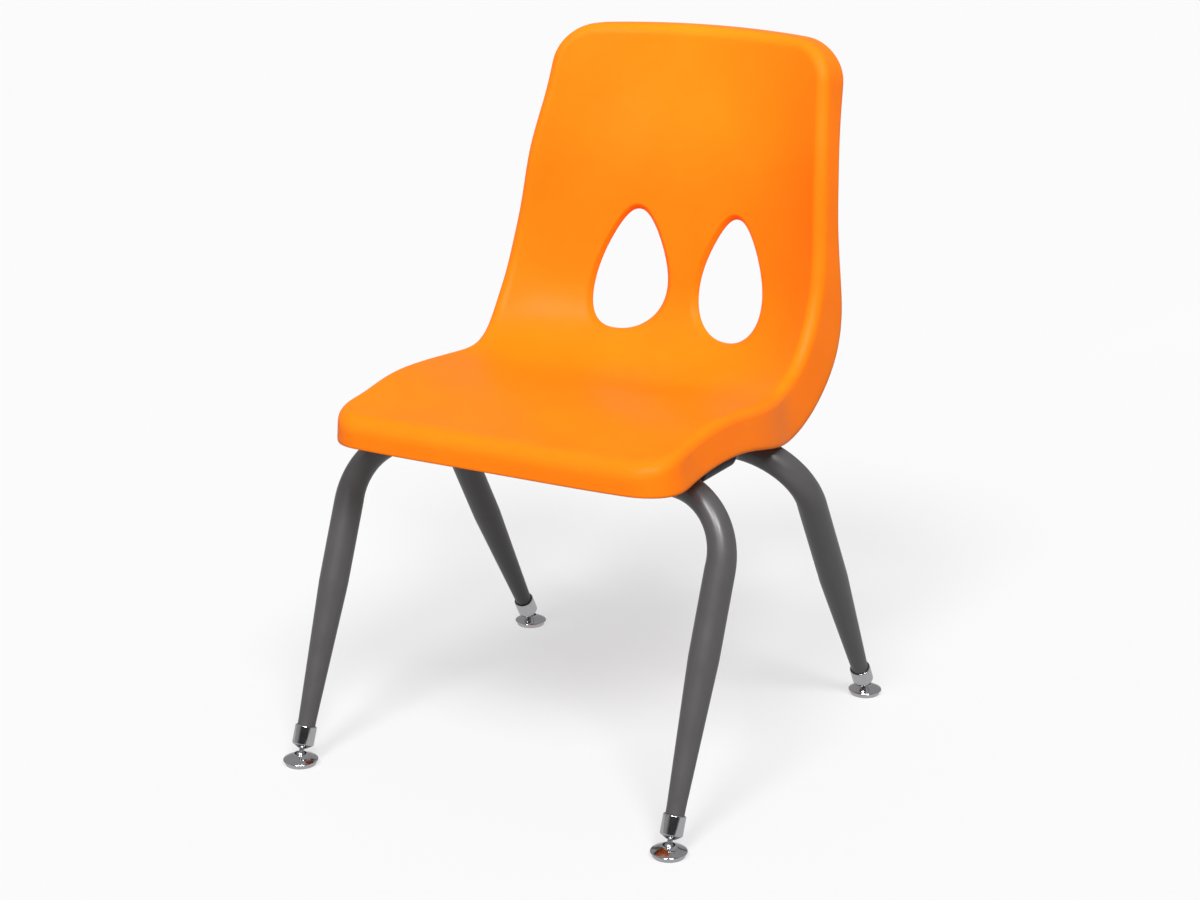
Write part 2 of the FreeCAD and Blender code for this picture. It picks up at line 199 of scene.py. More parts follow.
class MouldedPolypropylene(Finish):
    """Polypropylene from a lightly grained steel mould: satin, with light soaking in a little."""

    def extras(self) -> dict[str, object]:
        """A plastic's IOR, and a short red-heavy scatter that warms the thin rolled edges."""
        return {"IOR": 1.49, "Specular IOR Level": 0.06, "Subsurface Weight": 0.1,
                "Subsurface Scale": 2 * MM, "Subsurface Radius": (1.0, 0.35, 0.06)}


class BakedEnamel(Finish):
    """Baked enamel over steel tube: an even semi-gloss film with a faint orange-peel waviness."""

    def extras(self) -> dict[str, object]:
        """The paint film's IOR, and a thin clear skin where it flowed out in the oven."""
        return {"IOR": 1.5, "Coat Weight": 0.25, "Coat Roughness": 0.22}

    def dressed_height(self, tree: bpy.types.NodeTree,
                       place: bpy.types.NodeSocket) -> bpy.types.NodeSocket:
        """Fine grain over the slower peel of the paint film.

        Args:
            tree: the material's tree.
            place: object coordinates.

        Returns:
            A height between 0 and 1.
        """
        grain = super().dressed_height(tree, place)
        peel = add(tree, "ShaderNodeTexNoise", {
            "Vector": place, "Scale": per_metre(self.grain * 5), "Detail": 1.0})
        total = add(tree, "ShaderNodeMath", {
            0: grain, 1: 0.35, 2: peel.outputs["Fac"]}, operation="MULTIPLY_ADD")
        return total.outputs["Value"]


class NickelChrome(Finish):
    """Nickel-chrome plate on pressed steel: mirror bright, over the press's faint draw marks."""


class MouldedNylon(Finish):
    """Black nylon straight from the mould: dark and dull, with a fine spark-eroded grain."""

    def extras(self) -> dict[str, object]:
        """Nylon's IOR."""
        return {"IOR": 1.53}


class ZincPlate(Finish):
    """Zinc-plated steel, cloudy from its passivation."""


# ---- meshes -------------------------------------------------------------------------------
def piece_from(name: str, mesh: bpy.types.Mesh, material: bpy.types.Material,
               crease: float = CREASE) -> bpy.types.Object:
    """Link a mesh as a piece at the origin, smooth but for edges sharper than an angle.

    Args:
        name: the piece's name.
        mesh: its mesh, already in place.
        material: its only material.
        crease: the angle in degrees above which an edge stays sharp.

    Returns:
        The new object.
    """
    mesh.materials.clear()
    mesh.materials.append(material)
    mesh.shade_smooth()
    mesh.set_sharp_from_angle(angle=math.radians(crease))
    made = bpy.data.objects.new(name, mesh)
    bpy.context.scene.collection.objects.link(made)
    return made


def mesh_from(name: str, points: Iterable[Vector],
              faces: Iterable[Sequence[int]]) -> bpy.types.Mesh:
    """Make a mesh from points in millimetres, its doubles merged and its faces outwards.

    Args:
        name: the mesh's name.
        points: its vertices, in millimetres.
        faces: vertex numbers of each face.

    Returns:
        The mesh, in metres.
    """
    mesh = bpy.data.meshes.new(name)
    mesh.from_pydata([p * MM for p in points], [], [tuple(f) for f in faces])
    work = bmesh.new()
    work.from_mesh(mesh)
    bmesh.ops.remove_doubles(work, verts=work.verts, dist=SAME_PLACE)
    bmesh.ops.recalc_face_normals(work, faces=work.faces)
    work.to_mesh(mesh)
    work.free()
    return mesh


def settle(made: bpy.types.Object) -> bpy.types.Object:
    """Replace a piece's mesh with its evaluated one, and drop its modifiers.

    Args:
        made: a linked object with modifiers.

    Returns:
        The same object, as a plain mesh.
    """
    graph = bpy.context.evaluated_depsgraph_get()
    graph.update()
    final = bpy.data.meshes.new_from_object(made.evaluated_get(graph))
    made.modifiers.clear()
    made.data = final
    return made


def eased(outline: Outline, ease: float, steps: int = 4) -> list[tuple[float, float]]:
    """Round every corner of a closed outline.

    Args:
        outline: corners, as (radius, height).
        ease: how far back along each edge a corner's arc starts, where there is room.
        steps: points in each arc, less one.

    Returns:
        The outline with arcs for corners.
    """
    count = len(outline)
    result = []
    for i, corner in enumerate(outline):
        here = Vector(corner)
        before, after = Vector(outline[i - 1]), Vector(outline[(i + 1) % count])
        back = min(ease, EDGE_SHARE * (before - here).length)
        on = min(ease, EDGE_SHARE * (after - here).length)
        start = here + (before - here).normalized() * back
        end = here + (after - here).normalized() * on
        for k in range(steps + 1):
            u = k / steps
            point = start * (1 - u) ** 2 + here * (2 * u * (1 - u)) + end * u ** 2
            result.append((max(0.0, point.x), point.y))
    return result


def turned(name: str, outline: Outline, place: Matrix, material: bpy.types.Material,
           segments: int = 72) -> bpy.types.Object:
    """Turn a closed outline about the upright axis, and put it in place.

    Args:
        name: the piece's name.
        outline: (radius, height) corners in millimetres, already eased.
        place: where the local origin goes, and how it leans.
        material: the piece's material.
        segments: steps round the axis.

    Returns:
        The turned piece.
    """
    points = []
    for k in range(segments):
        angle = 2 * math.pi * k / segments
        points += [place @ Vector((r * math.cos(angle), r * math.sin(angle), z)) for r, z in outline]
    count = len(outline)
    faces = []
    for k in range(segments):
        near, far = k * count, (k + 1) % segments * count
        for i in range(count):
            j = (i + 1) % count
            if max(outline[i][0], outline[j][0]) < ON_AXIS:
                continue
            faces.append((near + i, near + j, far + j, far + i))
    mesh = mesh_from(name, points, faces)
    return piece_from(name, mesh, material)


def walled(name: str, outer: Grid, inner: Grid, material: bpy.types.Material,
           ease: float) -> bpy.types.Object:
    """A closed wall between two grids of the same size, its edges broken.

    Args:
        name: the piece's name.
        outer: rows of points on its outside, in millimetres.
        inner: rows of points on its inside.
        material: its material.
        ease: width of the broken edges, in millimetres.

    Returns:
        The piece.
    """
    rows, cols = len(outer), len(outer[0])
    size = rows * cols
    points = [p for row in outer for p in row] + [p for row in inner for p in row]
    faces = []
    for i in range(rows - 1):
        for j in range(cols - 1):
            a = i * cols + j
            faces.append((a, a + 1, a + cols + 1, a + cols))
            faces.append(tuple(size + v for v in (a, a + cols, a + cols + 1, a + 1)))
    for i in range(rows - 1):
        for a in (i * cols, i * cols + cols - 1):
            faces.append((a, a + cols, size + a + cols, size + a))
    for j in range(cols - 1):
        for a in (j, (rows - 1) * cols + j):
            faces.append((a, a + 1, size + a + 1, size + a))
    made = piece_from(name, mesh_from(name, points, faces), material)
    bevel = made.modifiers.new("broken edges", "BEVEL")
    bevel.width = ease * MM
    bevel.segments = 3
    bevel.angle_limit = math.radians(40)
    return smooth_again(settle(made))


def smooth_again(made: bpy.types.Object, crease: float = CREASE) -> bpy.types.Object:
    """Smooth a settled piece again, since its mesh is new.

    Args:
        made: the piece.
        crease: the angle in degrees above which an edge stays sharp.

    Returns:
        The same piece.
    """
    made.data.shade_smooth()
    made.data.set_sharp_from_angle(angle=math.radians(crease))
    return made


# ---- geometry-node trees ------------------------------------------------------------------
class ShapeTree:
    """A geometry-node tree with named inputs, made once and used by several pieces."""

    SOCKETS = {float: "NodeSocketFloat", int: "NodeSocketInt", tuple: "NodeSocketVector"}

    def __init__(self, name: str, inputs: dict[str, type]) -> None:
        """Start the tree.

        Args:
            name: its name.
            inputs: each input's name and type.
        """
        self.tree = bpy.data.node_groups.new(name, "GeometryNodeTree")
        face = self.tree.interface
        face.new_socket("Geometry", in_out="INPUT", socket_type="NodeSocketGeometry")
        for title, kind in inputs.items():
            face.new_socket(title, in_out="INPUT", socket_type=self.SOCKETS[kind])
        face.new_socket("Material", in_out="INPUT", socket_type="NodeSocketMaterial")
        face.new_socket("Geometry", in_out="OUTPUT", socket_type="NodeSocketGeometry")
        self.given = add(self.tree, "NodeGroupInput").outputs

    def add(self, kind: str, inputs: dict | None = None, **settings: object) -> bpy.types.Node:
        """Add a node to this tree."""
        return add(self.tree, kind, inputs, **settings)

    def maths(self, operation: str, *values: object) -> bpy.types.NodeSocket:
        """The result of one math node.

        Args:
            operation: the math node's operation.
            values: numbers or sockets, in order.

        Returns:
            The node's output.
        """
        return self.add("ShaderNodeMath", dict(enumerate(values)), operation=operation).outputs[0]

    def vector(self, operation: str, *values: object) -> bpy.types.NodeSocket:
        """The result of one vector math node."""
        return self.add("ShaderNodeVectorMath", dict(enumerate(values)), operation=operation).outputs[0]

    def ranged(self, value: bpy.types.NodeSocket, low: object, high: object, start: object,
               end: object) -> bpy.types.NodeSocket:
        """Carry a value from one range to another, clamped.

        Args:
            value: the value.
            low: where the first range starts.
            high: where it ends.
            start: the result at low.
            end: the result at high.

        Returns:
            The result.
        """
        return self.add("ShaderNodeMapRange", {
            "Value": value, "From Min": low, "From Max": high, "To Min": start,
            "To Max": end}).outputs["Result"]

    def finish(self, geometry: bpy.types.NodeSocket) -> None:
        """End the tree: real geometry, smooth, in the given material.

        Args:
            geometry: what the tree has made.
        """
        real = self.add("GeometryNodeRealizeInstances", {"Geometry": geometry})
        smooth = self.add("GeometryNodeSetShadeSmooth", {"Geometry": real.outputs[0]})
        dressed = self.add("GeometryNodeSetMaterial", {
            "Geometry": smooth.outputs[0], "Material": self.given["Material"]})
        self.add("NodeGroupOutput", {"Geometry": dressed.outputs[0]})

    def run(self, name: str, source: bpy.types.Mesh, values: dict[str, object],
            material: bpy.types.Material) -> bpy.types.Object:
        """Make a piece with this tree.

        Args:
            name: the piece's name.
            source: the mesh that the tree starts from.
            values: the inputs' values, by name.
            material: the piece's material.

        Returns:
            The piece, as a plain mesh.
        """
        made = bpy.data.objects.new(name, source)
        shape = made.modifiers.new("shape", "NODES")
        shape.node_group = self.tree
        wanted = {**values, "Material": material}
        for item in self.tree.interface.items_tree:
            if item.in_out == "INPUT" and item.name in wanted:
                shape[item.identifier] = wanted[item.name]
        bpy.context.scene.collection.objects.link(made)
        settle(made)
        if not made.data.materials:
            made.data.materials.append(material)
        return smooth_again(made)


def bent_tube_tree() -> ShapeTree:
    """The tree that sweeps a leg bow: two tapered legs and a cross run, ovalled in its bends.

    Returns:
        The finished tree.
    """
    onset, widening = 0.7, 0.35
    sizes = ("Half spacing", "Leg start", "Leg length", "Bend radius", "Tube radius", "Foot radius",
             "Taper start", "Taper end", "Flattening", "Ring spacing")
    made = ShapeTree("bent tube bow", {
        **dict.fromkeys(sizes, float), "Sides": int, "Lean": tuple, "Place": tuple})
    given = made.given
    index = made.add("GeometryNodeInputIndex").outputs[0]
    across = made.ranged(index, 1.4, 1.6, made.maths("MULTIPLY", given["Half spacing"], -1.0),
                         given["Half spacing"])
    middle = made.maths("ABSOLUTE", made.maths("SUBTRACT", index, 1.5))
    height = made.ranged(middle, 0.9, 1.1, given["Leg length"], given["Leg start"])
    corner = made.add("ShaderNodeCombineXYZ", {"X": across, "Z": height})
    line = made.add("GeometryNodeMeshLine", {"Count": 4})
    placed = made.add("GeometryNodeSetPosition", {
        "Geometry": line.outputs[0], "Position": corner.outputs[0]})
    path = made.add("GeometryNodeMeshToCurve", {"Mesh": placed.outputs[0]})
    bent = made.add("GeometryNodeFilletCurve", {
        "Curve": path.outputs[0], "Count": 40, "Radius": given["Bend radius"]}, mode="POLY")
    rings = made.add("GeometryNodeResampleCurve", {
        "Curve": bent.outputs[0], "Length": given["Ring spacing"]}, mode="LENGTH")
    along = made.add("GeometryNodeSplineParameter").outputs["Length"]
    total = made.add("GeometryNodeSplineLength").outputs["Length"]
    from_end = made.maths("MINIMUM", along, made.maths("SUBTRACT", total, along))
    on_leg = made.maths("ADD", from_end, given["Leg start"])
    radius = made.ranged(on_leg, given["Taper start"], given["Taper end"], given["Foot radius"],
                         given["Tube radius"])
    tangent = made.add("ShaderNodeSeparateXYZ", {
        0: made.add("GeometryNodeInputTangent").outputs[0]})
    turning = made.maths("ABSOLUTE", made.maths("MULTIPLY", tangent.outputs["X"], tangent.outputs["Z"]))
    bend = made.maths("POWER", made.maths("MULTIPLY", turning, 2.0), onset)
    kept = made.add("GeometryNodeCaptureAttribute", {"Geometry": rings.outputs[0]})
    kept.capture_items.new("VECTOR", "centre")
    kept.capture_items.new("FLOAT", "bend")
    made.tree.links.new(made.add("GeometryNodeInputPosition").outputs[0], kept.inputs[1])
    made.tree.links.new(bend, kept.inputs[2])
    section = made.add("GeometryNodeCurvePrimitiveCircle", {
        "Resolution": given["Sides"], "Radius": 1.0})
    tube = made.add("GeometryNodeCurveToMesh", {
        "Curve": kept.outputs[0], "Profile Curve": section.outputs[0], "Scale": radius,
        "Fill Caps": True})
    offset = made.vector("SUBTRACT", made.add("GeometryNodeInputPosition").outputs[0], kept.outputs[1])
    pressed = made.maths("MULTIPLY", kept.outputs[2], given["Flattening"])
    thinner = made.maths("SUBTRACT", 1.0, pressed)
    wider = made.maths("MULTIPLY_ADD", pressed, widening, 1.0)
    squeeze = made.add("ShaderNodeCombineXYZ", {"X": thinner, "Y": wider, "Z": thinner})
    ovalled = made.add("GeometryNodeSetPosition", {
        "Geometry": tube.outputs[0],
        "Position": made.vector("ADD", kept.outputs[1],
                                made.vector("MULTIPLY", offset, squeeze.outputs[0]))})
    leaned = made.add("GeometryNodeTransform", {
        "Geometry": ovalled.outputs[0], "Translation": given["Place"], "Rotation": given["Lean"]})
    made.finish(leaned.outputs[0])
    return made


def rod_tree() -> ShapeTree:
    """The tree that lays a round rod along each line it is given: a rail, or a rippled weld bead.

    Returns:
        The finished tree.
    """
    lump_size = 7.0
    made = ShapeTree("rod along lines", {
        "Radius": float, "Ring spacing": float, "Ripple spacing": float, "Ripple height": float,
        "Unevenness": float, "Sides": int, "Seed": int})
    given = made.given
    path = made.add("GeometryNodeMeshToCurve", {"Mesh": given["Geometry"]})
    rings = made.add("GeometryNodeResampleCurve", {
        "Curve": path.outputs[0], "Length": given["Ring spacing"]}, mode="LENGTH")
    along = made.add("GeometryNodeSplineParameter").outputs["Length"]
    phase = made.maths("MULTIPLY", made.maths("DIVIDE", along, given["Ripple spacing"]), 2 * math.pi)
    ripple = made.maths("MULTIPLY", made.maths("SINE", phase), given["Ripple height"])
    noise = made.add("ShaderNodeTexNoise", {
        "Vector": made.add("GeometryNodeInputPosition").outputs[0], "W": given["Seed"],
        "Scale": per_metre(lump_size), "Detail": 1.0}, noise_dimensions="4D")
    wander = made.maths("MULTIPLY", made.maths("SUBTRACT", noise.outputs[0], 0.5), given["Unevenness"])
    factor = made.maths("ADD", made.maths("ADD", ripple, wander), 1.0)
    section = made.add("GeometryNodeCurvePrimitiveCircle", {
        "Resolution": given["Sides"], "Radius": 1.0})
    rod = made.add("GeometryNodeCurveToMesh", {
        "Curve": rings.outputs[0], "Profile Curve": section.outputs[0],
        "Scale": made.maths("MULTIPLY", factor, given["Radius"]), "Fill Caps": True})
    made.finish(rod.outputs[0])
    return made


def pan_screw_tree() -> ShapeTree:
    """The tree that hangs a pan-head screw with a crossed recess at each point, each turned.

    Returns:
        The finished tree.
    """
    dome_power, dome_share = 5.0, 0.55
    made = ShapeTree("pan-head screws", {
        "Head radius": float, "Head height": float, "Shank radius": float, "Shank length": float,
        "Recess length": float, "Recess width": float, "Recess depth": float, "Seed": int})
    given = made.given
    head = made.add("GeometryNodeMeshCylinder", {
        "Vertices": 40, "Side Segments": 1, "Fill Segments": 9, "Radius": given["Head radius"],
        "Depth": given["Head height"]}, fill_type="TRIANGLE_FAN")
    place = made.add("GeometryNodeInputPosition").outputs[0]
    flat = made.vector("MULTIPLY", place, (1.0, 1.0, 0.0))
    reach = made.add("ShaderNodeVectorMath", {0: flat}, operation="LENGTH").outputs["Value"]
    share = made.maths("POWER", made.maths("DIVIDE", reach, given["Head radius"]), dome_power)
    height = made.add("ShaderNodeSeparateXYZ", {0: place}).outputs["Z"]
    below = made.maths("LESS_THAN", height, 0.0)
    rise = made.maths("MULTIPLY", made.maths("MULTIPLY", share, below),
                      made.maths("MULTIPLY", given["Head height"], dome_share))
    domed = made.add("GeometryNodeSetPosition", {
        "Geometry": head.outputs[0],
        "Offset": made.add("ShaderNodeCombineXYZ", {"Z": rise}).outputs[0]})
    depth = made.maths("MULTIPLY", given["Recess depth"], 2.0)
    floor = made.maths("MULTIPLY", given["Head height"], -0.5)
    low = made.add("ShaderNodeCombineXYZ", {"Z": floor}).outputs[0]
    cuts = []
    for long_side, short_side in (("Recess length", "Recess width"), ("Recess width", "Recess length")):
        size = made.add("ShaderNodeCombineXYZ", {
            "X": given[long_side], "Y": given[short_side], "Z": depth})
        bar = made.add("GeometryNodeMeshCube", {"Size": size.outputs[0]})
        cuts.append(made.add("GeometryNodeTransform", {
            "Geometry": bar.outputs[0], "Translation": low}).outputs[0])
    recessed = made.add("GeometryNodeMeshBoolean", {"Mesh 1": domed.outputs[0]},
                        operation="DIFFERENCE", solver="EXACT")
    for cut in cuts:
        made.tree.links.new(cut, recessed.inputs["Mesh 2"])
    hung = made.add("GeometryNodeTransform", {"Geometry": recessed.outputs[0], "Translation": low})
    shank = made.add("GeometryNodeMeshCylinder", {
        "Vertices": 24, "Radius": given["Shank radius"], "Depth": given["Shank length"]})
    half = made.add("ShaderNodeCombineXYZ", {"Z": made.maths("MULTIPLY", given["Shank length"], 0.5)})
    raised = made.add("GeometryNodeTransform", {
        "Geometry": shank.outputs[0], "Translation": half.outputs[0]})
    screw = made.add("GeometryNodeJoinGeometry", {0: hung.outputs[0]})
    made.tree.links.new(raised.outputs[0], screw.inputs[0])
    turn = made.add("FunctionNodeRandomValue", {
        "Min": (0.0, 0.0, 0.0), "Max": (0.0, 0.0, math.pi / 2), "Seed": given["Seed"]},
        data_type="FLOAT_VECTOR")
    placed = made.add("GeometryNodeInstanceOnPoints", {
        "Points": given["Geometry"], "Instance": screw.outputs[0], "Rotation": turn.outputs[0]})
    made.finish(placed.outputs[0])
    return made


def washer_tree() -> ShapeTree:
    """The tree that puts a flat washer with eased edges at each point.

    Returns:
        The finished tree.
    """
    made = ShapeTree("flat washers", {
        "Outer radius": float, "Hole radius": float, "Thickness": float, "Edge": float})
    given = made.given
    middle = made.maths("MULTIPLY", made.maths("ADD", given["Outer radius"], given["Hole radius"]), 0.5)
    ring = made.add("GeometryNodeCurvePrimitiveCircle", {"Resolution": 48, "Radius": middle})
    section = made.add("GeometryNodeCurvePrimitiveQuadrilateral", {
        "Width": made.maths("SUBTRACT", given["Outer radius"], given["Hole radius"]),
        "Height": given["Thickness"]}, mode="RECTANGLE")
    softened = made.add("GeometryNodeFilletCurve", {
        "Curve": section.outputs[0], "Count": 3, "Radius": given["Edge"]}, mode="POLY")
    washer = made.add("GeometryNodeCurveToMesh", {
        "Curve": ring.outputs[0], "Profile Curve": softened.outputs[0]})
    placed = made.add("GeometryNodeInstanceOnPoints", {
        "Points": given["Geometry"], "Instance": washer.outputs[0]})
    made.finish(placed.outputs[0])
    return made


def lines_mesh(name: str, lines: Iterable[Sequence[Vector]]) -> bpy.types.Mesh:
    """A mesh of bare points and edges, one chain for each line, for a tree to start from.

    Args:
        name: the mesh's name.
        lines: points of each line, in millimetres.

    Returns:
        The mesh, in metres.
    """
    points, edges = [], []
    for line in lines:
        first = len(points)
        points += [p * MM for p in line]
        edges += [(first + i, first + i + 1) for i in range(len(line) - 1)]
    mesh = bpy.data.meshes.new(name)
    mesh.from_pydata(points, edges, [])
    return mesh


# ---- the chair's sub-assemblies -------------------------------------------------------------
@dataclass(frozen=True)
class Dressing:
    """The chair's materials, made once."""

    materials: dict[Slot, bpy.types.Material]

    def hand_over(self, piece: bpy.types.Object, body: str, slot: Slot, *nodes: str) -> None:
        """Give a finished piece to the frame.

        Args:
            piece: the piece, in place.
            body: the body that it rides on.
            slot: the record's slot of the piece's finish; not used.
            nodes: the frame nodes that it stands for.
        """
        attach(piece, body)
        if nodes:
            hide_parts(*nodes)
        log.info("%s on %s, %d faces", piece.name, body, len(piece.data.polygons))

    def cover(self, node: str, slot: Slot) -> None:
        """Put a material on a frame node that stays as it is.

        Args:
            node: the frame node.
            slot: the finish that it takes.
        """
        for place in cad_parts[node].material_slots:
            place.material = self.materials[slot]
        log.info("%s keeps its shape", node)


@dataclass(frozen=True)
class FrameSizes:
    """Sizes that the bows, the glides and what joins them share."""

    glide_x: float = 225.0
    front_glide_y: float = -246.0
    rear_glide_y: float = 235.0
    ball_z: float = 9.5
    front_lean: float = math.radians(21.8)
    rear_lean: float = math.radians(-31.0)
    tube_r: float = 15.875
    foot_r: float = 9.75
    run_z: float = 343.0
    rail_x: float = 160.0
    rail_r: float = 9.525
    bracket_x: float = 95.0
    bracket_width: float = 32.0
    bracket_bottom: float = 347.0
    bracket_top: float = 366.0
    bracket_wall: float = 2.5
    screw_offset: float = 27.0
    screw_r: float = 2.75
    washer_h: float = 1.2

    def glide_y(self, front: bool) -> float:
        """Where a bow's glides stand, front to back."""
        return self.front_glide_y if front else self.rear_glide_y

    def lean(self, front: bool) -> float:
        """How far a bow leans back from upright, in radians."""
        return self.front_lean if front else self.rear_lean

    def run_y(self, front: bool) -> float:
        """Where a bow's cross run lies, front to back."""
        return self.glide_y(front) + (self.run_z - self.ball_z) * math.tan(self.lean(front))

    def screw_places(self) -> list[tuple[float, float]]:
        """Where the shell screws stand, as (x, y)."""
        return [(side * self.bracket_x, self.run_y(front) + step * self.screw_offset)
                for side in (1, -1) for front in (True, False) for step in (-1, 1)]


class Spline:
    """A natural cubic spline through values at stations."""

    def __init__(self, stations: Sequence[float], values: Sequence[float]) -> None:
        """Work out the bend at each station.

        Args:
            stations: rising places along the line.
            values: the value at each.
        """
        n = len(stations)
        h = [b - a for a, b in zip(stations, stations[1:])]
        diag, rhs = [1.0] * n, [0.0] * n
        for i in range(1, n - 1):
            low = h[i - 1] if i > 1 else 0.0
            ratio = low / diag[i - 1]
            rise = (values[i + 1] - values[i]) / h[i] - (values[i] - values[i - 1]) / h[i - 1]
            rhs[i] = 6 * rise - ratio * rhs[i - 1]
            diag[i] = 2 * (h[i - 1] + h[i]) - ratio * h[i - 1]
        bend = [0.0] * n
        for i in range(n - 2, 0, -1):
            bend[i] = (rhs[i] - h[i] * bend[i + 1]) / diag[i]
        self.stations, self.values, self.h, self.bend = stations, values, h, bend

    def __call__(self, t: float) -> float:
        """The value at a place, carried on past either end.

        Args:
            t: the place along the line.

        Returns:
            The value.
        """
        i = 0
        while i < len(self.h) - 1 and t > self.stations[i + 1]:
            i += 1
        u = (t - self.stations[i]) / self.h[i]
        v = 1 - u
        cubic = (v ** 3 - v) * self.bend[i] + (u ** 3 - u) * self.bend[i + 1]
        return v * self.values[i] + u * self.values[i + 1] + self.h[i] ** 2 / 6 * cubic


@dataclass
class MouldedShell:
    """The one-piece seat and back, with rolled edges, a skirt and two egg-shaped openings.

    Each section, from the front lip to the top of the back, is the crest of the side roll
    (y, z), the crest's half-width, the dish's depth and the skirt's depth.
    """

    sizes: FrameSizes
    sections: tuple[tuple[float, ...], ...] = (
        (-199, 395.0, 192.0, 5, 40),
        (-156, 400.5, 187.0, 9, 41),
        (-110, 406.5, 188.0, 12, 42),
        (-35, 405.0, 192.0, 12, 43),
        (29, 400.5, 191.0, 14, 52),
        (64, 402.5, 184.0, 22, 58),
        (94, 415.0, 182.5, 40, 60),
        (119, 440.0, 183.0, 58, 62),
        (139, 472.0, 182.0, 60, 57),
        (152, 505.0, 180.5, 53, 43),
        (162, 545.0, 176.5, 49, 34),
        (173, 606.0, 171.0, 46, 32),
        (193, 673.0, 162.0, 37, 34),
        (209, 744.0, 156.5, 24, 40),
    )
    wall: float = 4.5
    dish_power: float = 2.6
    front_bow: float = -6.0
    front_rise: float = -2.0
    front_reach: float = 180.0
    top_bow: float = 8.0
    top_reach: float = 150.0
    front_corner: float = 30.0
    top_corner: float = 34.0
    side_roll: float = 10.0
    front_roll: float = 19.0
    top_roll: float = 12.0
    front_skirt: float = 32.0
    top_skirt: float = 30.0
    skirt_draft: float = math.radians(83)
    panel_inset: float = 60.0
    panel_half: float = 0.72
    rows: int = 84
    half_columns: int = 20
    blend: tuple[float, ...] = (0.25, 0.5, 0.72, 0.88, 0.96)
    roll_steps: int = 9
    skirt_steps: int = 5
    slope_step: float = 0.5
    slope_step_q: float = 0.003
    seat_share: float = 0.5
    back_share: float = 0.35
    egg_x: float = 61.6
    egg_z: float = 479.7
    egg_half_width: float = 39.5
    egg_half_height: float = 64.3
    egg_taper: float = 0.38
    egg_blunt: float = 0.9
    egg_lean: float = 5.3
    lean_power: float = 5.0
    flare_bend: float = 4.8
    flare_slope: float = math.radians(44)
    flare_land: float = 3.2
    flare_nose: float = 3.0
    flare_lip: float = 0.5
    fill_steps: tuple[float, ...] = (0.3, 0.6, 0.82, 1.0)
    spare_rows: float = 0.8
    boss_r: float = 9.5
    boss_flare: Outline = ((0.4, 7.0), (1.4, 3.6), (4.5, 0.6), (4.5, 0.0))
    boss_sink: float = 1.5
    boss_ease: float = 0.8

    def __post_init__(self) -> None:
        """Run splines through the sections."""
        stations = [0.0]
        for here, there in zip(self.sections, self.sections[1:]):
            stations.append(stations[-1] + math.hypot(there[0] - here[0], there[1] - here[1]))
        self.length = stations[-1]
        self.crest_y, self.crest_z, self.half_width, self.dish, self.skirt = [
            Spline(stations, [section[k] for section in self.sections]) for k in range(5)]
        self.points: list[Vector] = []
        self.faces: list[tuple[int, ...]] = []

    def profile_normal(self, s: float) -> Vector:
        """Unit normal of the crest line, towards the sitter.

        Args:
            s: distance along the crest.

        Returns:
            The normal.
        """
        ahead, behind = s + self.slope_step, s - self.slope_step
        dy = self.crest_y(ahead) - self.crest_y(behind)
        dz = self.crest_z(ahead) - self.crest_z(behind)
        return Vector((0.0, -dz, dy)).normalized()

    def sheet(self, s: float, q: float) -> Vector:
        """A point of the dished sheet.

        Args:
            s: distance along the crest, from the front lip.
            q: place across, from -1 to 1.

        Returns:
            The point, in millimetres.
        """
        front = max(0.0, 1 - s / self.front_reach) ** 2 * q * q
        top = max(0.0, 1 - (self.length - s) / self.top_reach) ** 2 * q * q
        base = Vector((q * self.half_width(s), self.crest_y(s) + self.front_bow * front,
                       self.crest_z(s) + self.front_rise * front - self.top_bow * top))
        return base - self.profile_normal(s) * (self.dish(s) * (1 - abs(q) ** self.dish_power))

    def sheet_normal(self, s: float, q: float) -> Vector:
        """Unit normal of the sheet, towards the sitter.

        Args:
            s: distance along the crest.
            q: place across, from -1 to 1.

        Returns:
            The normal.
        """
        along = self.sheet(s + self.slope_step, q) - self.sheet(s - self.slope_step, q)
        across = self.sheet(s, q + self.slope_step_q) - self.sheet(s, q - self.slope_step_q)
        return across.cross(along).normalized()

    def seek(self, x: float, axis: int, target: float, low: float, high: float) -> float:
        """Search along the crest for where the sheet, at a place across, reaches a target.

        Args:
            x: the place across, in millimetres.
            axis: what rises towards the target: 1 for y, 2 for z.
            target: its value to find.
            low: distance along the crest where the search starts.
            high: where it ends.

        Returns:
            The distance along the crest.
        """
        for _ in range(HALVINGS):
            s = (low + high) / 2
            if self.sheet(s, x / self.half_width(s))[axis] < target:
                low = s
            else:
                high = s
        return s

    def end_outline(self, t: float, corner: float, width: float) -> tuple[float, float, float]:
        """One end of the rim: half a corner, the end, half a corner.

        Args:
            t: place along it, 0 to 1.
            corner: the corner's radius.
            width: the end's half-width.

        Returns:
            Distance in from the end, q, and a weight that is 1 on the end and 0 on a side.
        """
        straight = width - corner
        reach = (2 * t - 1) * (straight + corner * math.pi / 4)
        if abs(reach) <= straight:
            return 0.0, reach / width, 1.0
        turn = (abs(reach) - straight) / corner
        q = 1 - corner / width * (1 - math.sin(turn))
        return corner * (1 - math.cos(turn)), math.copysign(q, reach), math.cos(turn) ** 2

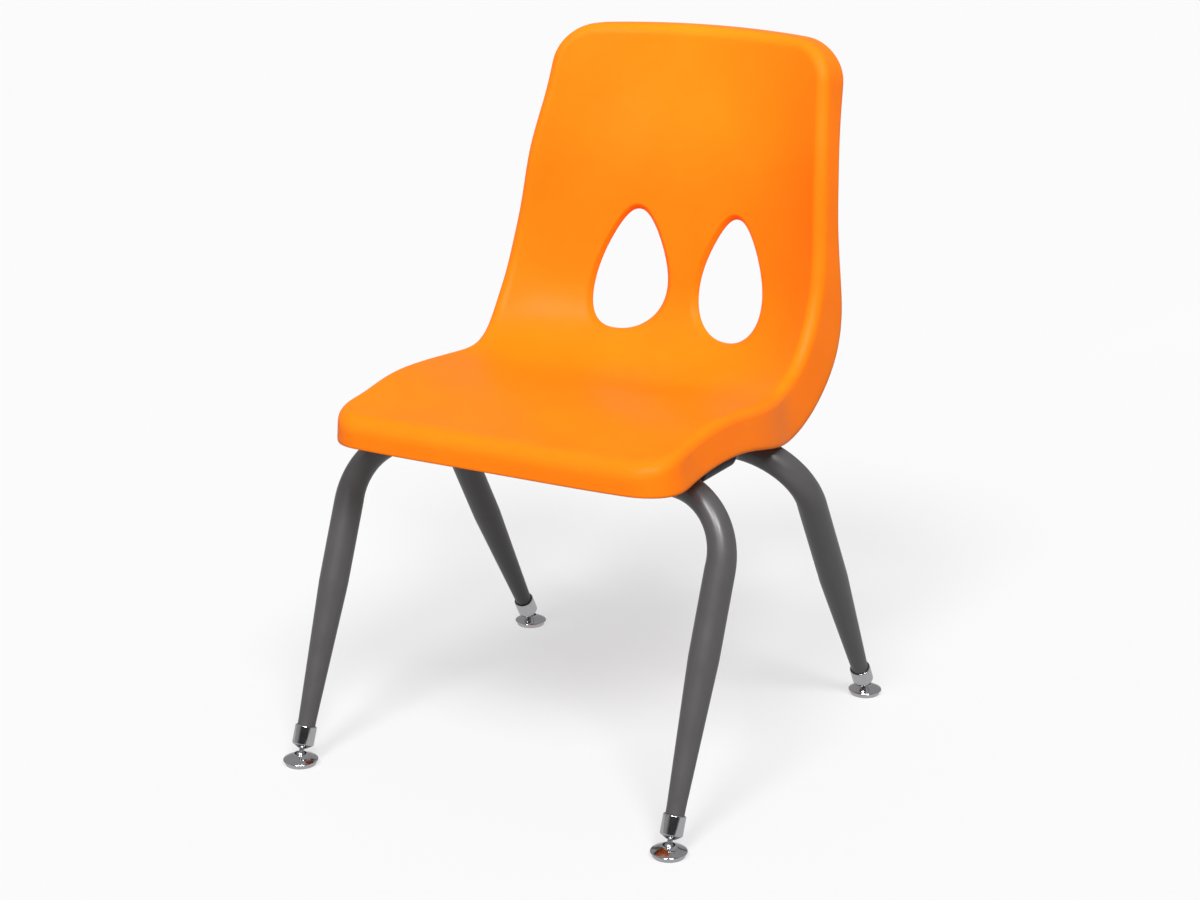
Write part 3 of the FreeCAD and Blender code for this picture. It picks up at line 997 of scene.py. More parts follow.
    def side_outline(self, t: float) -> tuple[float, float, float]:
        """One side of the rim, from the front up: half a corner, the side, half a corner.

        Args:
            t: place along it, 0 to 1.

        Returns:
            s, q, and a weight that is 1 on an end and 0 on the side.
        """
        arc_front, arc_top = (c * math.pi / 4 for c in (self.front_corner, self.top_corner))
        total = arc_front + arc_top + self.length - self.front_corner - self.top_corner
        run = t * total
        if run < arc_front:
            turn = math.pi / 4 * (1 - run / arc_front)
            q = 1 - self.front_corner / self.half_width(0) * (1 - math.cos(turn))
            return self.front_corner * (1 - math.sin(turn)), q, math.sin(turn) ** 2
        if run > total - arc_top:
            turn = math.pi / 4 * (1 - (total - run) / arc_top)
            q = 1 - self.top_corner / self.half_width(self.length) * (1 - math.cos(turn))
            return self.length - self.top_corner * (1 - math.sin(turn)), q, math.sin(turn) ** 2
        return run - arc_front + self.front_corner, 1.0, 0.0

    def outline(self, sector: Sector, t: float) -> tuple[float, float, float]:
        """A point of the rim.

        Args:
            sector: which stretch.
            t: place along it, 0 to 1, counter-clockwise seen by the sitter.

        Returns:
            s, q, and a weight that is 1 on an end and 0 on a side.
        """
        if sector is Sector.FRONT:
            return self.end_outline(t, self.front_corner, self.half_width(0))
        if sector is Sector.TOP:
            s, q, end = self.end_outline(t, self.top_corner, self.half_width(self.length))
            return self.length - s, -q, end
        s, q, end = self.side_outline(t if sector is Sector.LEFT else 1 - t)
        return s, (q if sector is Sector.LEFT else -q), end

    def panel_place(self, row: int, column: int) -> tuple[float, float]:
        """s and q of a corner of the middle panel's mesh."""
        s = self.panel_inset + (self.length - 2 * self.panel_inset) * row / self.rows
        return s, self.panel_half * (column / self.half_columns - 1)

    def rim_column(self, sector: Sector, t: float, start: tuple[float, float]) -> list[Vector]:
        """Points from the panel's edge outwards, over the roll and down the skirt.

        Args:
            sector: which stretch of the rim.
            t: place along it.
            start: s and q of the panel's edge there.

        Returns:
            The points after the panel's edge.
        """
        step = 0.002
        s, q, end = self.outline(sector, t)
        later, sooner = Sector((sector.value + 1) % 4), Sector((sector.value - 1) % 4)
        ahead = self.outline(sector, t + step) if t + step <= 1 else self.outline(later, t + step - 1)
        behind = self.outline(sector, t - step) if t >= step else self.outline(sooner, 1 + t - step)
        along = (self.sheet(ahead[0], ahead[1]) - self.sheet(behind[0], behind[1])).normalized()
        up = self.profile_normal(s)
        up = (up - along * up.dot(along)).normalized()
        out = along.cross(up).normalized()
        slope_out = along.cross(self.sheet_normal(s, q)).normalized()
        slope = math.atan2(slope_out.dot(up), slope_out.dot(out))
        front = s < self.length / 2
        roll = self.side_roll + ((self.front_roll if front else self.top_roll) - self.side_roll) * end
        fall = self.skirt(s)
        fall += ((self.front_skirt if front else self.top_skirt) - fall) * end
        points = [self.sheet(start[0] + (s - start[0]) * part, start[1] + (q - start[1]) * part)
                  for part in self.blend]
        centre = self.sheet(s, q) + (out * math.sin(slope) - up * math.cos(slope)) * roll
        for i in range(self.roll_steps + 1):
            angle = -slope + (self.skirt_draft + slope) * i / self.roll_steps
            points.append(centre + (out * math.sin(angle) + up * math.cos(angle)) * roll)
        down = out * math.cos(self.skirt_draft) - up * math.sin(self.skirt_draft)
        length = (fall - roll * (1 - math.cos(self.skirt_draft))) / math.sin(self.skirt_draft)
        foot = points[-1]
        points += [foot + down * (length * i / self.skirt_steps)
                   for i in range(1, self.skirt_steps + 1)]
        return points

    def point(self, at: Vector) -> int:
        """Add a point and give its number."""
        self.points.append(at)
        return len(self.points) - 1

    def strip(self, near: Sequence[int], far: Sequence[int]) -> None:
        """Join two lines of points with four-sided faces, far lying to the right of near."""
        for i in range(len(near) - 1):
            self.faces.append((near[i], far[i], far[i + 1], near[i + 1]))

    def band(self, side: int, outer: list[int], inner: list[int]) -> None:
        """Join two closed rings of points round an opening.

        Args:
            side: 1 for the sitter's left opening.
            outer: the outer ring's point numbers.
            inner: the inner ring's.
        """
        if side < 0:
            outer, inner = inner, outer
        self.strip(inner + inner[:1], outer + outer[:1])

    def egg_place(self, side: int, turn: float, grow: float) -> tuple[float, float]:
        """s and q of a point round an opening.

        Args:
            side: 1 for the sitter's left opening.
            turn: angle round it, from its outer side upwards.
            grow: how far outside the opening's edge it lies, in millimetres.

        Returns:
            s and q on the sheet.
        """
        lean = self.egg_lean * ((1 - math.sin(turn)) / 2) ** self.lean_power
        across = math.copysign(abs(math.cos(turn)) ** self.egg_blunt, math.cos(turn))
        wide = (self.egg_half_width + grow) * across * (1 - self.egg_taper * math.sin(turn))
        x, z = self.egg_x + lean + wide, self.egg_z + (self.egg_half_height + grow) * math.sin(turn)
        s = self.seek(x, 2, z, self.back_share * self.length, self.length)
        return s, side * x / self.half_width(s)

    def flare(self) -> list[tuple[float, float]]:
        """The section through an opening's flared edge: bent in, a sloping land, and a rounded nose.

        Returns:
            Distance outside the opening's edge and depth, from the sheet inwards.
        """
        slope, sink = self.flare_slope, self.flare_bend * (1 - math.cos(self.flare_slope))
        nose = self.flare_nose * (1 - math.sin(slope))
        reach = self.flare_bend * math.sin(slope) + self.flare_land + nose
        section = [(reach - self.flare_bend * math.sin(slope * k / 4),
                    self.flare_bend * (1 - math.cos(slope * k / 4))) for k in range(5)]
        fall = self.flare_land * math.tan(slope)
        section += [(nose + self.flare_land / 2, sink + fall / 2), (nose, sink + fall)]
        for k in (1, 2, 3):
            turn = slope + (math.pi / 2 - slope) * k / 3
            section.append((self.flare_nose * (1 - math.sin(turn)),
                            sink + fall + self.flare_nose * (math.cos(slope) - math.cos(turn))))
        section.append((0.0, section[-1][1] + self.flare_lip))
        return section

    def egg_rows(self) -> tuple[int, int]:
        """The panel rows between which both openings lie, with room to spare.

        Returns:
            The first row and the last.
        """
        reach = self.flare()[0][0]
        low_s = min(self.egg_place(1, math.pi * k / 24, reach)[0] for k in range(24, 49))
        high_s = max(self.egg_place(1, math.pi * k / 24, reach)[0] for k in range(25))
        step = (self.length - 2 * self.panel_inset) / self.rows
        return (math.floor((low_s - self.panel_inset) / step - self.spare_rows),
                math.ceil((high_s - self.panel_inset) / step + self.spare_rows))

    def rim_opening(self, side: int, border: list[int], places: list[tuple[float, float]]) -> None:
        """Fill between a block's border and an opening, and roll the opening's edge inwards.

        Args:
            side: 1 for the sitter's left opening.
            border: the block's border points, counter-clockwise seen by the sitter.
            places: their s and q.
        """
        s_mid = sum(p[0] for p in places) / len(places)
        s_half = (max(p[0] for p in places) - min(p[0] for p in places)) / 2
        q_half = self.panel_half / 2
        turns = []
        for s, q in places:
            turns.append(math.atan2((s - s_mid) / s_half, (side * q - q_half) / q_half))
        flare = self.flare()
        last = border
        for part in self.fill_steps:
            ring = []
            for (s, q), turn in zip(places, turns):
                s_in, q_in = self.egg_place(side, turn, flare[0][0])
                ring.append(self.point(self.sheet(s + (s_in - s) * part, q + (q_in - q) * part)))
            self.band(side, last, ring)
            last = ring
        for grow, depth in flare[1:]:
            ring = []
            for turn in turns:
                s, q = self.egg_place(side, turn, grow)
                ring.append(self.point(self.sheet(s, q) - self.sheet_normal(s, q) * depth))
            self.band(side, last, ring)
            last = ring

    def lay_panel(self) -> list[list[int]]:
        """Mesh the middle panel, leaving a block for each opening, and fill the blocks.

        Returns:
            Point numbers by row and column, -1 inside a block.
        """
        low, high = self.egg_rows()
        half = self.half_columns
        grid = [[-1] * (2 * half + 1) for _ in range(self.rows + 1)]
        for i in range(self.rows + 1):
            for j in range(2 * half + 1):
                inside = low < i < high and j not in (0, half, 2 * half)
                if not inside:
                    grid[i][j] = self.point(self.sheet(*self.panel_place(i, j)))
        for i in range(self.rows):
            if low <= i < high:
                continue
            self.strip(grid[i + 1], grid[i])
        for side, first in ((1, half), (-1, 0)):
            last = first + half
            ring = [(low, j) for j in range(first, last)] + [(i, last) for i in range(low, high)]
            ring += [(high, j) for j in range(last, first, -1)]
            ring += [(i, first) for i in range(high, low, -1)]
            self.rim_opening(side, [grid[i][j] for i, j in ring],
                             [self.panel_place(i, j) for i, j in ring])
        return grid

    def lay_rim(self, grid: list[list[int]]) -> None:
        """Mesh the roll and the skirt round the panel.

        Args:
            grid: the panel's point numbers.
        """
        across, along = 2 * self.half_columns, self.rows
        edges = {
            Sector.FRONT: [(0, j) for j in range(across)],
            Sector.LEFT: [(i, across) for i in range(along)],
            Sector.TOP: [(along, j) for j in range(across, 0, -1)],
            Sector.RIGHT: [(i, 0) for i in range(along, 0, -1)],
        }
        columns = []
        for sector, places in edges.items():
            for k, (i, j) in enumerate(places):
                points = self.rim_column(sector, k / len(places), self.panel_place(i, j))
                columns.append([grid[i][j]] + [self.point(p) for p in points])
        for near, far in zip(columns, columns[1:] + columns[:1]):
            self.strip(near, far)

    def build_wall(self, material: bpy.types.Material) -> bpy.types.Object:
        """Mesh the sitting side, give it its wall and smooth it.

        Args:
            material: the shell's material.

        Returns:
            The shell's moulded wall.
        """
        self.lay_rim(self.lay_panel())
        mesh = mesh_from("moulded_shell", self.points, self.faces)
        middle = min(mesh.polygons, key=lambda face: face.center.xy.length)
        if middle.normal.z < 0:
            mesh.flip_normals()
        made = piece_from("moulded_shell", mesh, material, crease=180)
        wall = made.modifiers.new("wall", "SOLIDIFY")
        wall.thickness = self.wall * MM
        wall.offset = -1.0
        wall.use_even_offset = True
        smooth = made.modifiers.new("smooth", "SUBSURF")
        smooth.levels = smooth.render_levels = 1
        return smooth_again(settle(made), crease=180)

    def underside(self, x: float, y: float) -> float:
        """Height of the seat's underside above a place on the floor.

        Args:
            x: the place across.
            y: the place front to back.

        Returns:
            The height, in millimetres.
        """
        s = self.seek(x, 1, y, 0.0, self.seat_share * self.length)
        return self.sheet(s, x / self.half_width(s)).z - self.wall

    def build_bosses(self, material: bpy.types.Material) -> bpy.types.Object:
        """Make the eight screw bosses, each flared where it runs into the seat.

        The flare's corners are measured out from the boss and down from its top.

        Args:
            material: the shell's material.

        Returns:
            The bosses, as one piece.
        """
        work = bmesh.new()
        for x, y in self.sizes.screw_places():
            top = self.underside(x, y) + self.boss_sink
            foot, bore = self.sizes.bracket_top, self.sizes.screw_r
            outline = [(bore, foot), (self.boss_r, foot)]
            outline += [(self.boss_r + out, top - down) for out, down in self.boss_flare]
            outline.append((bore, top))
            boss = turned("boss", eased(outline, self.boss_ease, 3), Matrix.Translation((x, y, 0)),
                          material, 40)
            work.from_mesh(boss.data)
            bpy.data.objects.remove(boss)
        mesh = bpy.data.meshes.new("screw_bosses")
        work.to_mesh(mesh)
        work.free()
        return piece_from("screw_bosses", mesh, material)

    def build(self, dressing: Dressing) -> None:
        """Make the shell's pieces and hand them over.

        Args:
            dressing: the chair's materials.
        """
        material = dressing.materials[Slot.SHELL]
        dressing.hand_over(self.build_wall(material), "chair", Slot.SHELL, "seat_shell")
        dressing.hand_over(self.build_bosses(material), "chair", Slot.SHELL)


@dataclass
class LegBows:
    """The two bent-tube bows, the side rails between them and the welds that join them."""

    sizes: FrameSizes
    bend_r: float = 76.2
    leg_start: float = 13.0
    taper_start: float = 40.0
    taper_end: float = 190.0
    flattening: float = 0.13
    ring_spacing: float = 4.0
    sides: int = 48
    rail_sink: float = 1.0
    rail_spacing: float = 12.0
    rail_sides: int = 40
    bead_r: float = 1.9
    bead_spacing: float = 0.6
    bead_ripple: float = 2.4
    bead_height: float = 0.09
    bead_spread: float = 0.5
    bead_sides: int = 10
    bead_seed: int = 7

    def build_bow(self, tree: ShapeTree, front: bool, material: bpy.types.Material) -> bpy.types.Object:
        """Sweep one bow.

        Args:
            tree: the bent-tube tree.
            front: whether it is the front bow.
            material: the enamel.

        Returns:
            The bow.
        """
        sizes = self.sizes
        lean = sizes.lean(front)
        name = "front_bow_tube" if front else "rear_bow_tube"
        return tree.run(name, bpy.data.meshes.new(name), {
            "Half spacing": sizes.glide_x * MM,
            "Leg start": self.leg_start * MM,
            "Leg length": (sizes.run_z - sizes.ball_z) / math.cos(lean) * MM,
            "Bend radius": self.bend_r * MM,
            "Tube radius": sizes.tube_r * MM,
            "Foot radius": sizes.foot_r * MM,
            "Taper start": self.taper_start * MM,
            "Taper end": self.taper_end * MM,
            "Flattening": self.flattening,
            "Ring spacing": self.ring_spacing * MM,
            "Sides": self.sides,
            "Lean": (-lean, 0.0, 0.0),
            "Place": (0.0, sizes.glide_y(front) * MM, sizes.ball_z * MM),
        }, material)

    def rail_lines(self) -> dict[str, list[Vector]]:
        """The side rails' lines, whose ends lie in the bows' walls.

        Returns:
            Each rail's two end points, by name.
        """
        start = self.sizes.run_y(True) + self.sizes.tube_r - self.rail_sink
        end = self.sizes.run_y(False) - self.sizes.tube_r + self.rail_sink
        return {name: [Vector((side * self.sizes.rail_x, y, self.sizes.run_z)) for y in (start, end)]
                for name, side in (("left", 1), ("right", -1))}

    def seams(self) -> list[list[Vector]]:
        """The weld lines: round each rail's end, and over the tube beside each bracket.

        Returns:
            The lines' points, in millimetres.
        """
        sizes = self.sizes
        lines = []
        for side in (1, -1):
            for front in (True, False):
                y_run = sizes.run_y(front)
                ring = []
                for k in range(49):
                    turn = 2 * math.pi * k / 48
                    x = side * sizes.rail_x + sizes.rail_r * math.cos(turn)
                    rise = sizes.rail_r * math.sin(turn)
                    reach = math.sqrt(sizes.tube_r ** 2 - rise ** 2)
                    ring.append(Vector((x, y_run + (reach if front else -reach), sizes.run_z + rise)))
                lines.append(ring)
                low = math.asin((sizes.bracket_bottom - sizes.run_z) / sizes.tube_r)
                for flank in (-0.5, 0.5):
                    x = side * sizes.bracket_x + flank * sizes.bracket_width
                    turns = [low + (math.pi - 2 * low) * k / 32 for k in range(33)]
                    lines.append([Vector((x, y_run + sizes.tube_r * math.cos(turn),
                                          sizes.run_z + sizes.tube_r * math.sin(turn)))
                                  for turn in turns])
        return lines

    def build(self, dressing: Dressing) -> None:
        """Make the bows, rails and weld beads and hand them over.

        Args:
            dressing: the chair's materials.
        """
        enamel = dressing.materials[Slot.ENAMEL]
        tube = bent_tube_tree()
        for front, node in ((True, "front_leg_bow"), (False, "rear_leg_bow")):
            dressing.hand_over(self.build_bow(tube, front, enamel), "chair", Slot.ENAMEL, node)
        rod = rod_tree()
        for name, line in self.rail_lines().items():
            rail = rod.run(f"{name}_rail_tube", lines_mesh(name, [line]), {
                "Radius": self.sizes.rail_r * MM, "Ring spacing": self.rail_spacing * MM,
                "Ripple spacing": 1.0, "Ripple height": 0.0, "Unevenness": 0.0,
                "Sides": self.rail_sides, "Seed": 0}, enamel)
            dressing.hand_over(rail, "chair", Slot.ENAMEL, f"{name}_side_rail")
        beads = rod.run("weld_beads", lines_mesh("seams", self.seams()), {
            "Radius": self.bead_r * MM, "Ring spacing": self.bead_spacing * MM,
            "Ripple spacing": self.bead_ripple * MM, "Ripple height": self.bead_height,
            "Unevenness": self.bead_spread, "Sides": self.bead_sides,
            "Seed": self.bead_seed}, enamel)
        dressing.hand_over(beads, "chair", Slot.ENAMEL)


@dataclass
class SeatBrackets:
    """Four pressed channels across the bows, with the screws and washers that hold the shell."""

    sizes: FrameSizes
    length: float = 76.0
    fold_out: float = 3.6
    fold_in: float = 1.1
    head_r: float = 5.5
    head_h: float = 3.6
    washer_r: float = 7.5
    screw_reach: float = 14.0
    recess: tuple[float, float, float] = (6.2, 1.5, 2.0)
    washer_edge: float = 0.3
    edge_ease: float = 0.5
    turn_seed: int = 4

    def section(self, low: float) -> tuple[list[tuple[float, float]], list[tuple[float, float]]]:
        """The channel's outline across, open below.

        Args:
            low: height of its bottom edges.

        Returns:
            Outer and inner points, as (x from the middle, z), the same number of each.
        """
        top, wall, half = self.sizes.bracket_top, self.sizes.bracket_wall, self.sizes.bracket_width / 2
        lines = []
        for edge, roof, fold in ((half, top, self.fold_out), (half - wall, top - wall, self.fold_in)):
            arc = []
            for k in range(7):
                turn = math.pi / 2 * k / 6
                arc.append((edge - fold * (1 - math.cos(turn)), roof - fold * (1 - math.sin(turn))))
            right = [(edge, low), (edge, (low + arc[0][1]) / 2)] + arc
            lines.append([(-x, z) for x, z in right] + right[::-1])
        return lines[0], lines[1]

    def build_bracket(self, side: int, front: bool, material: bpy.types.Material) -> bpy.types.Object:
        """Make one bracket, its flanges coped over the tube.

        Args:
            side: 1 for the sitter's left.
            front: whether it is on the front bow.
            material: the enamel.

        Returns:
            The bracket.
        """
        sizes = self.sizes
        low_turn = math.asin((sizes.bracket_bottom - sizes.run_z) / sizes.tube_r)
        arc = [low_turn + (math.pi - 2 * low_turn) * k / 28 for k in range(29)]
        ends = [(self.length / 3, sizes.bracket_bottom), (self.length / 2, sizes.bracket_bottom)]
        stations = [(-y, low) for y, low in ends[::-1]]
        stations += [(-sizes.tube_r * math.cos(turn), sizes.run_z + sizes.tube_r * math.sin(turn))
                     for turn in arc]
        stations += ends
        outer, inner = [], []
        for y, low in stations:
            for grid, line in zip((outer, inner), self.section(low)):
                grid.append([Vector((side * sizes.bracket_x + x, sizes.run_y(front) + y, z))
                             for x, z in line])
        name = f"{'front' if front else 'rear'}_{'left' if side > 0 else 'right'}_seat_channel"
        return walled(name, outer, inner, material, self.edge_ease)

    def build(self, dressing: Dressing) -> None:
        """Make the brackets, screws and washers and hand them over.

        Args:
            dressing: the chair's materials.
        """
        for side in (1, -1):
            for front in (True, False):
                made = self.build_bracket(side, front, dressing.materials[Slot.ENAMEL])
                node = made.name.replace("seat_channel", "bracket")
                dressing.hand_over(made, "chair", Slot.ENAMEL, node)
        self.build_screws(dressing)

    def build_screws(self, dressing: Dressing) -> None:
        """Make the shell's screws and washers, which bear on the brackets' undersides.

        Args:
            dressing: the chair's materials.
        """
        plate = self.sizes.bracket_top - self.sizes.bracket_wall
        zinc = dressing.materials[Slot.ZINC]

        def points_at(z: float) -> bpy.types.Mesh:
            """A mesh of one point for each screw, at a height."""
            return lines_mesh("screw places", [
                [Vector((x, y, z))] for x, y in self.sizes.screw_places()])

        bearing = plate - self.sizes.washer_h
        recess_length, recess_width, recess_depth = self.recess
        screws = pan_screw_tree().run("pan_head_screws", points_at(bearing), {
            "Head radius": self.head_r * MM, "Head height": self.head_h * MM,
            "Shank radius": self.sizes.screw_r * MM,
            "Shank length": (self.sizes.bracket_top + self.screw_reach - bearing) * MM,
            "Recess length": recess_length * MM, "Recess width": recess_width * MM,
            "Recess depth": recess_depth * MM, "Seed": self.turn_seed}, zinc)
        dressing.hand_over(screws, "chair", Slot.ZINC, "shell_screws")
        washers = washer_tree().run("flat_washers", points_at(plate - self.sizes.washer_h / 2), {
            "Outer radius": self.washer_r * MM, "Hole radius": self.sizes.screw_r * MM,
            "Thickness": self.sizes.washer_h * MM, "Edge": self.washer_edge * MM}, zinc)
        dressing.hand_over(washers, "chair", Slot.ZINC, "shell_washers")


@dataclass
class StackBumpers:
    """Nylon half sleeves clipped under the side rails, which meet the next chair's rails."""

    sizes: FrameSizes
    length: float = 70.0
    outer_r: float = 13.0
    lip_z: float = 2.0
    edge_ease: float = 0.9

    def build(self, dressing: Dressing) -> None:
        """Make both bumpers and hand them over.

        Args:
            dressing: the chair's materials.
        """
        middle = (self.sizes.run_y(True) + self.sizes.run_y(False)) / 2
        stations = [middle + self.length * (k / 8 - 0.5) for k in range(9)]
        for name, side in (("left", 1), ("right", -1)):
            grids = []
            for radius in (self.outer_r, self.sizes.rail_r):
                lip = math.asin(self.lip_z / radius)
                turns = [lip - (math.pi + 2 * lip) * k / 36 for k in range(37)]
                grids.append([[Vector((side * self.sizes.rail_x + radius * math.cos(turn), y,
                                       self.sizes.run_z + radius * math.sin(turn)))
                               for turn in turns] for y in stations])
            made = walled(f"{name}_rail_bumper", *grids, dressing.materials[Slot.NYLON],
                          self.edge_ease)
            dressing.hand_over(made, "chair", Slot.NYLON, f"{name}_stack_bumper")


@dataclass
class SwivelGlide:
    """One foot: a chromed ferrule and its ball stud, on a domed base that swivels on the ball.

    Outlines are (radius, height). The leg's pieces are measured from the ball's centre along
    the leg, the base and the disc from the floor.
    """

    sizes: FrameSizes
    foot: Foot
    ferrule: Outline = (
        (2.8, 8.2), (4.9, 8.2), (10.6, 11.6), (11.75, 12.9), (11.75, 32.2), (11.1, 33.0),
        (10.8, 33.0), (10.8, 12.9), (2.8, 11.0))
    liner: Outline = (
        (3.5, 11.35), (10.8, 12.9), (10.8, 32.6), (9.75, 32.6), (9.75, 13.0), (8.1, 13.0),
        (8.1, 32.0), (3.5, 32.0))
    base: Outline = (
        (6.4, 12.4), (7.1, 12.4), (7.4, 12.0), (7.4, 11.3), (9.0, 10.8), (14.0, 8.6),
        (18.3, 6.5), (19.0, 5.7), (18.9, 5.0), (18.3, 4.2), (17.4, 3.7), (16.2, 3.6),
        (16.2, 4.3), (17.3, 4.7), (17.6, 5.4), (13.6, 7.5), (8.6, 9.8), (7.8, 10.5),
        (6.4, 11.4))
    disc: Outline = (
        (0.0, 0.0), (15.9, 0.0), (16.7, 0.8), (16.7, 3.6), (16.2, 3.6), (16.2, 4.3),
        (16.8, 4.7), (16.8, 4.9), (9.0, 2.6), (0.0, 2.6))
    ball_r: float = 5.25
    neck_r: float = 2.75
    shank_r: float = 3.5
    shank_start: float = 11.35
    shank_end: float = 31.0

    def stud(self) -> list[tuple[float, float]]:
        """The ball stud's outline: ball, fillet, neck and shank.

        Returns:
            Corners, as (radius, height) above the ball's centre.
        """
        neck_turn = math.asin(self.neck_r / self.ball_r)
        outline = [(self.ball_r * math.sin(turn), -self.ball_r * math.cos(turn))
                   for turn in ((math.pi - neck_turn) * k / 24 for k in range(25))]
        rise = outline[-1][1]
        outline += [(self.neck_r, rise + 0.6), (self.neck_r, self.shank_start),
                    (self.shank_r, self.shank_start), (self.shank_r, self.shank_end),
                    (0.0, self.shank_end)]
        return outline

    def build(self, dressing: Dressing) -> None:
        """Make the foot's turned pieces, hand them over and cover what stays as it is.

        Args:
            dressing: the chair's materials.
        """
        name, side, front = self.foot.value
        sizes = self.sizes
        ball = Matrix.Translation((side * sizes.glide_x, sizes.glide_y(front), sizes.ball_z))
        leg = ball @ Euler((-sizes.lean(front), 0.0, 0.0)).to_matrix().to_4x4()
        floor = Matrix.Translation((side * sizes.glide_x, sizes.glide_y(front), 0.0))
        pieces = (
            ("chrome_ferrule", eased(self.ferrule, 0.5), leg, Slot.CHROME, "chair", "ferrule"),
            ("nylon_liner", eased(self.liner, 0.25, 2), leg, Slot.NYLON, "chair", "liner"),
            ("ball_shank", self.stud(), leg, Slot.ZINC, "chair", "ball_stud"),
            ("glide_dome", eased(self.base, 0.6), floor, Slot.CHROME, f"{name}_glide", "base"),
            ("wear_pad", eased(self.disc, 0.3, 3), floor, Slot.CHROME, f"{name}_glide", "wear_disc"),
        )
        for title, outline, place, slot, body, node in pieces:
            made = turned(f"{name}_{title}", outline, place, dressing.materials[slot])
            dressing.hand_over(made, body, slot, f"{name}_{node}")
        dressing.cover(f"{name}_cushion", Slot.NYLON)
        dressing.cover(f"{name}_ring", Slot.ZINC)


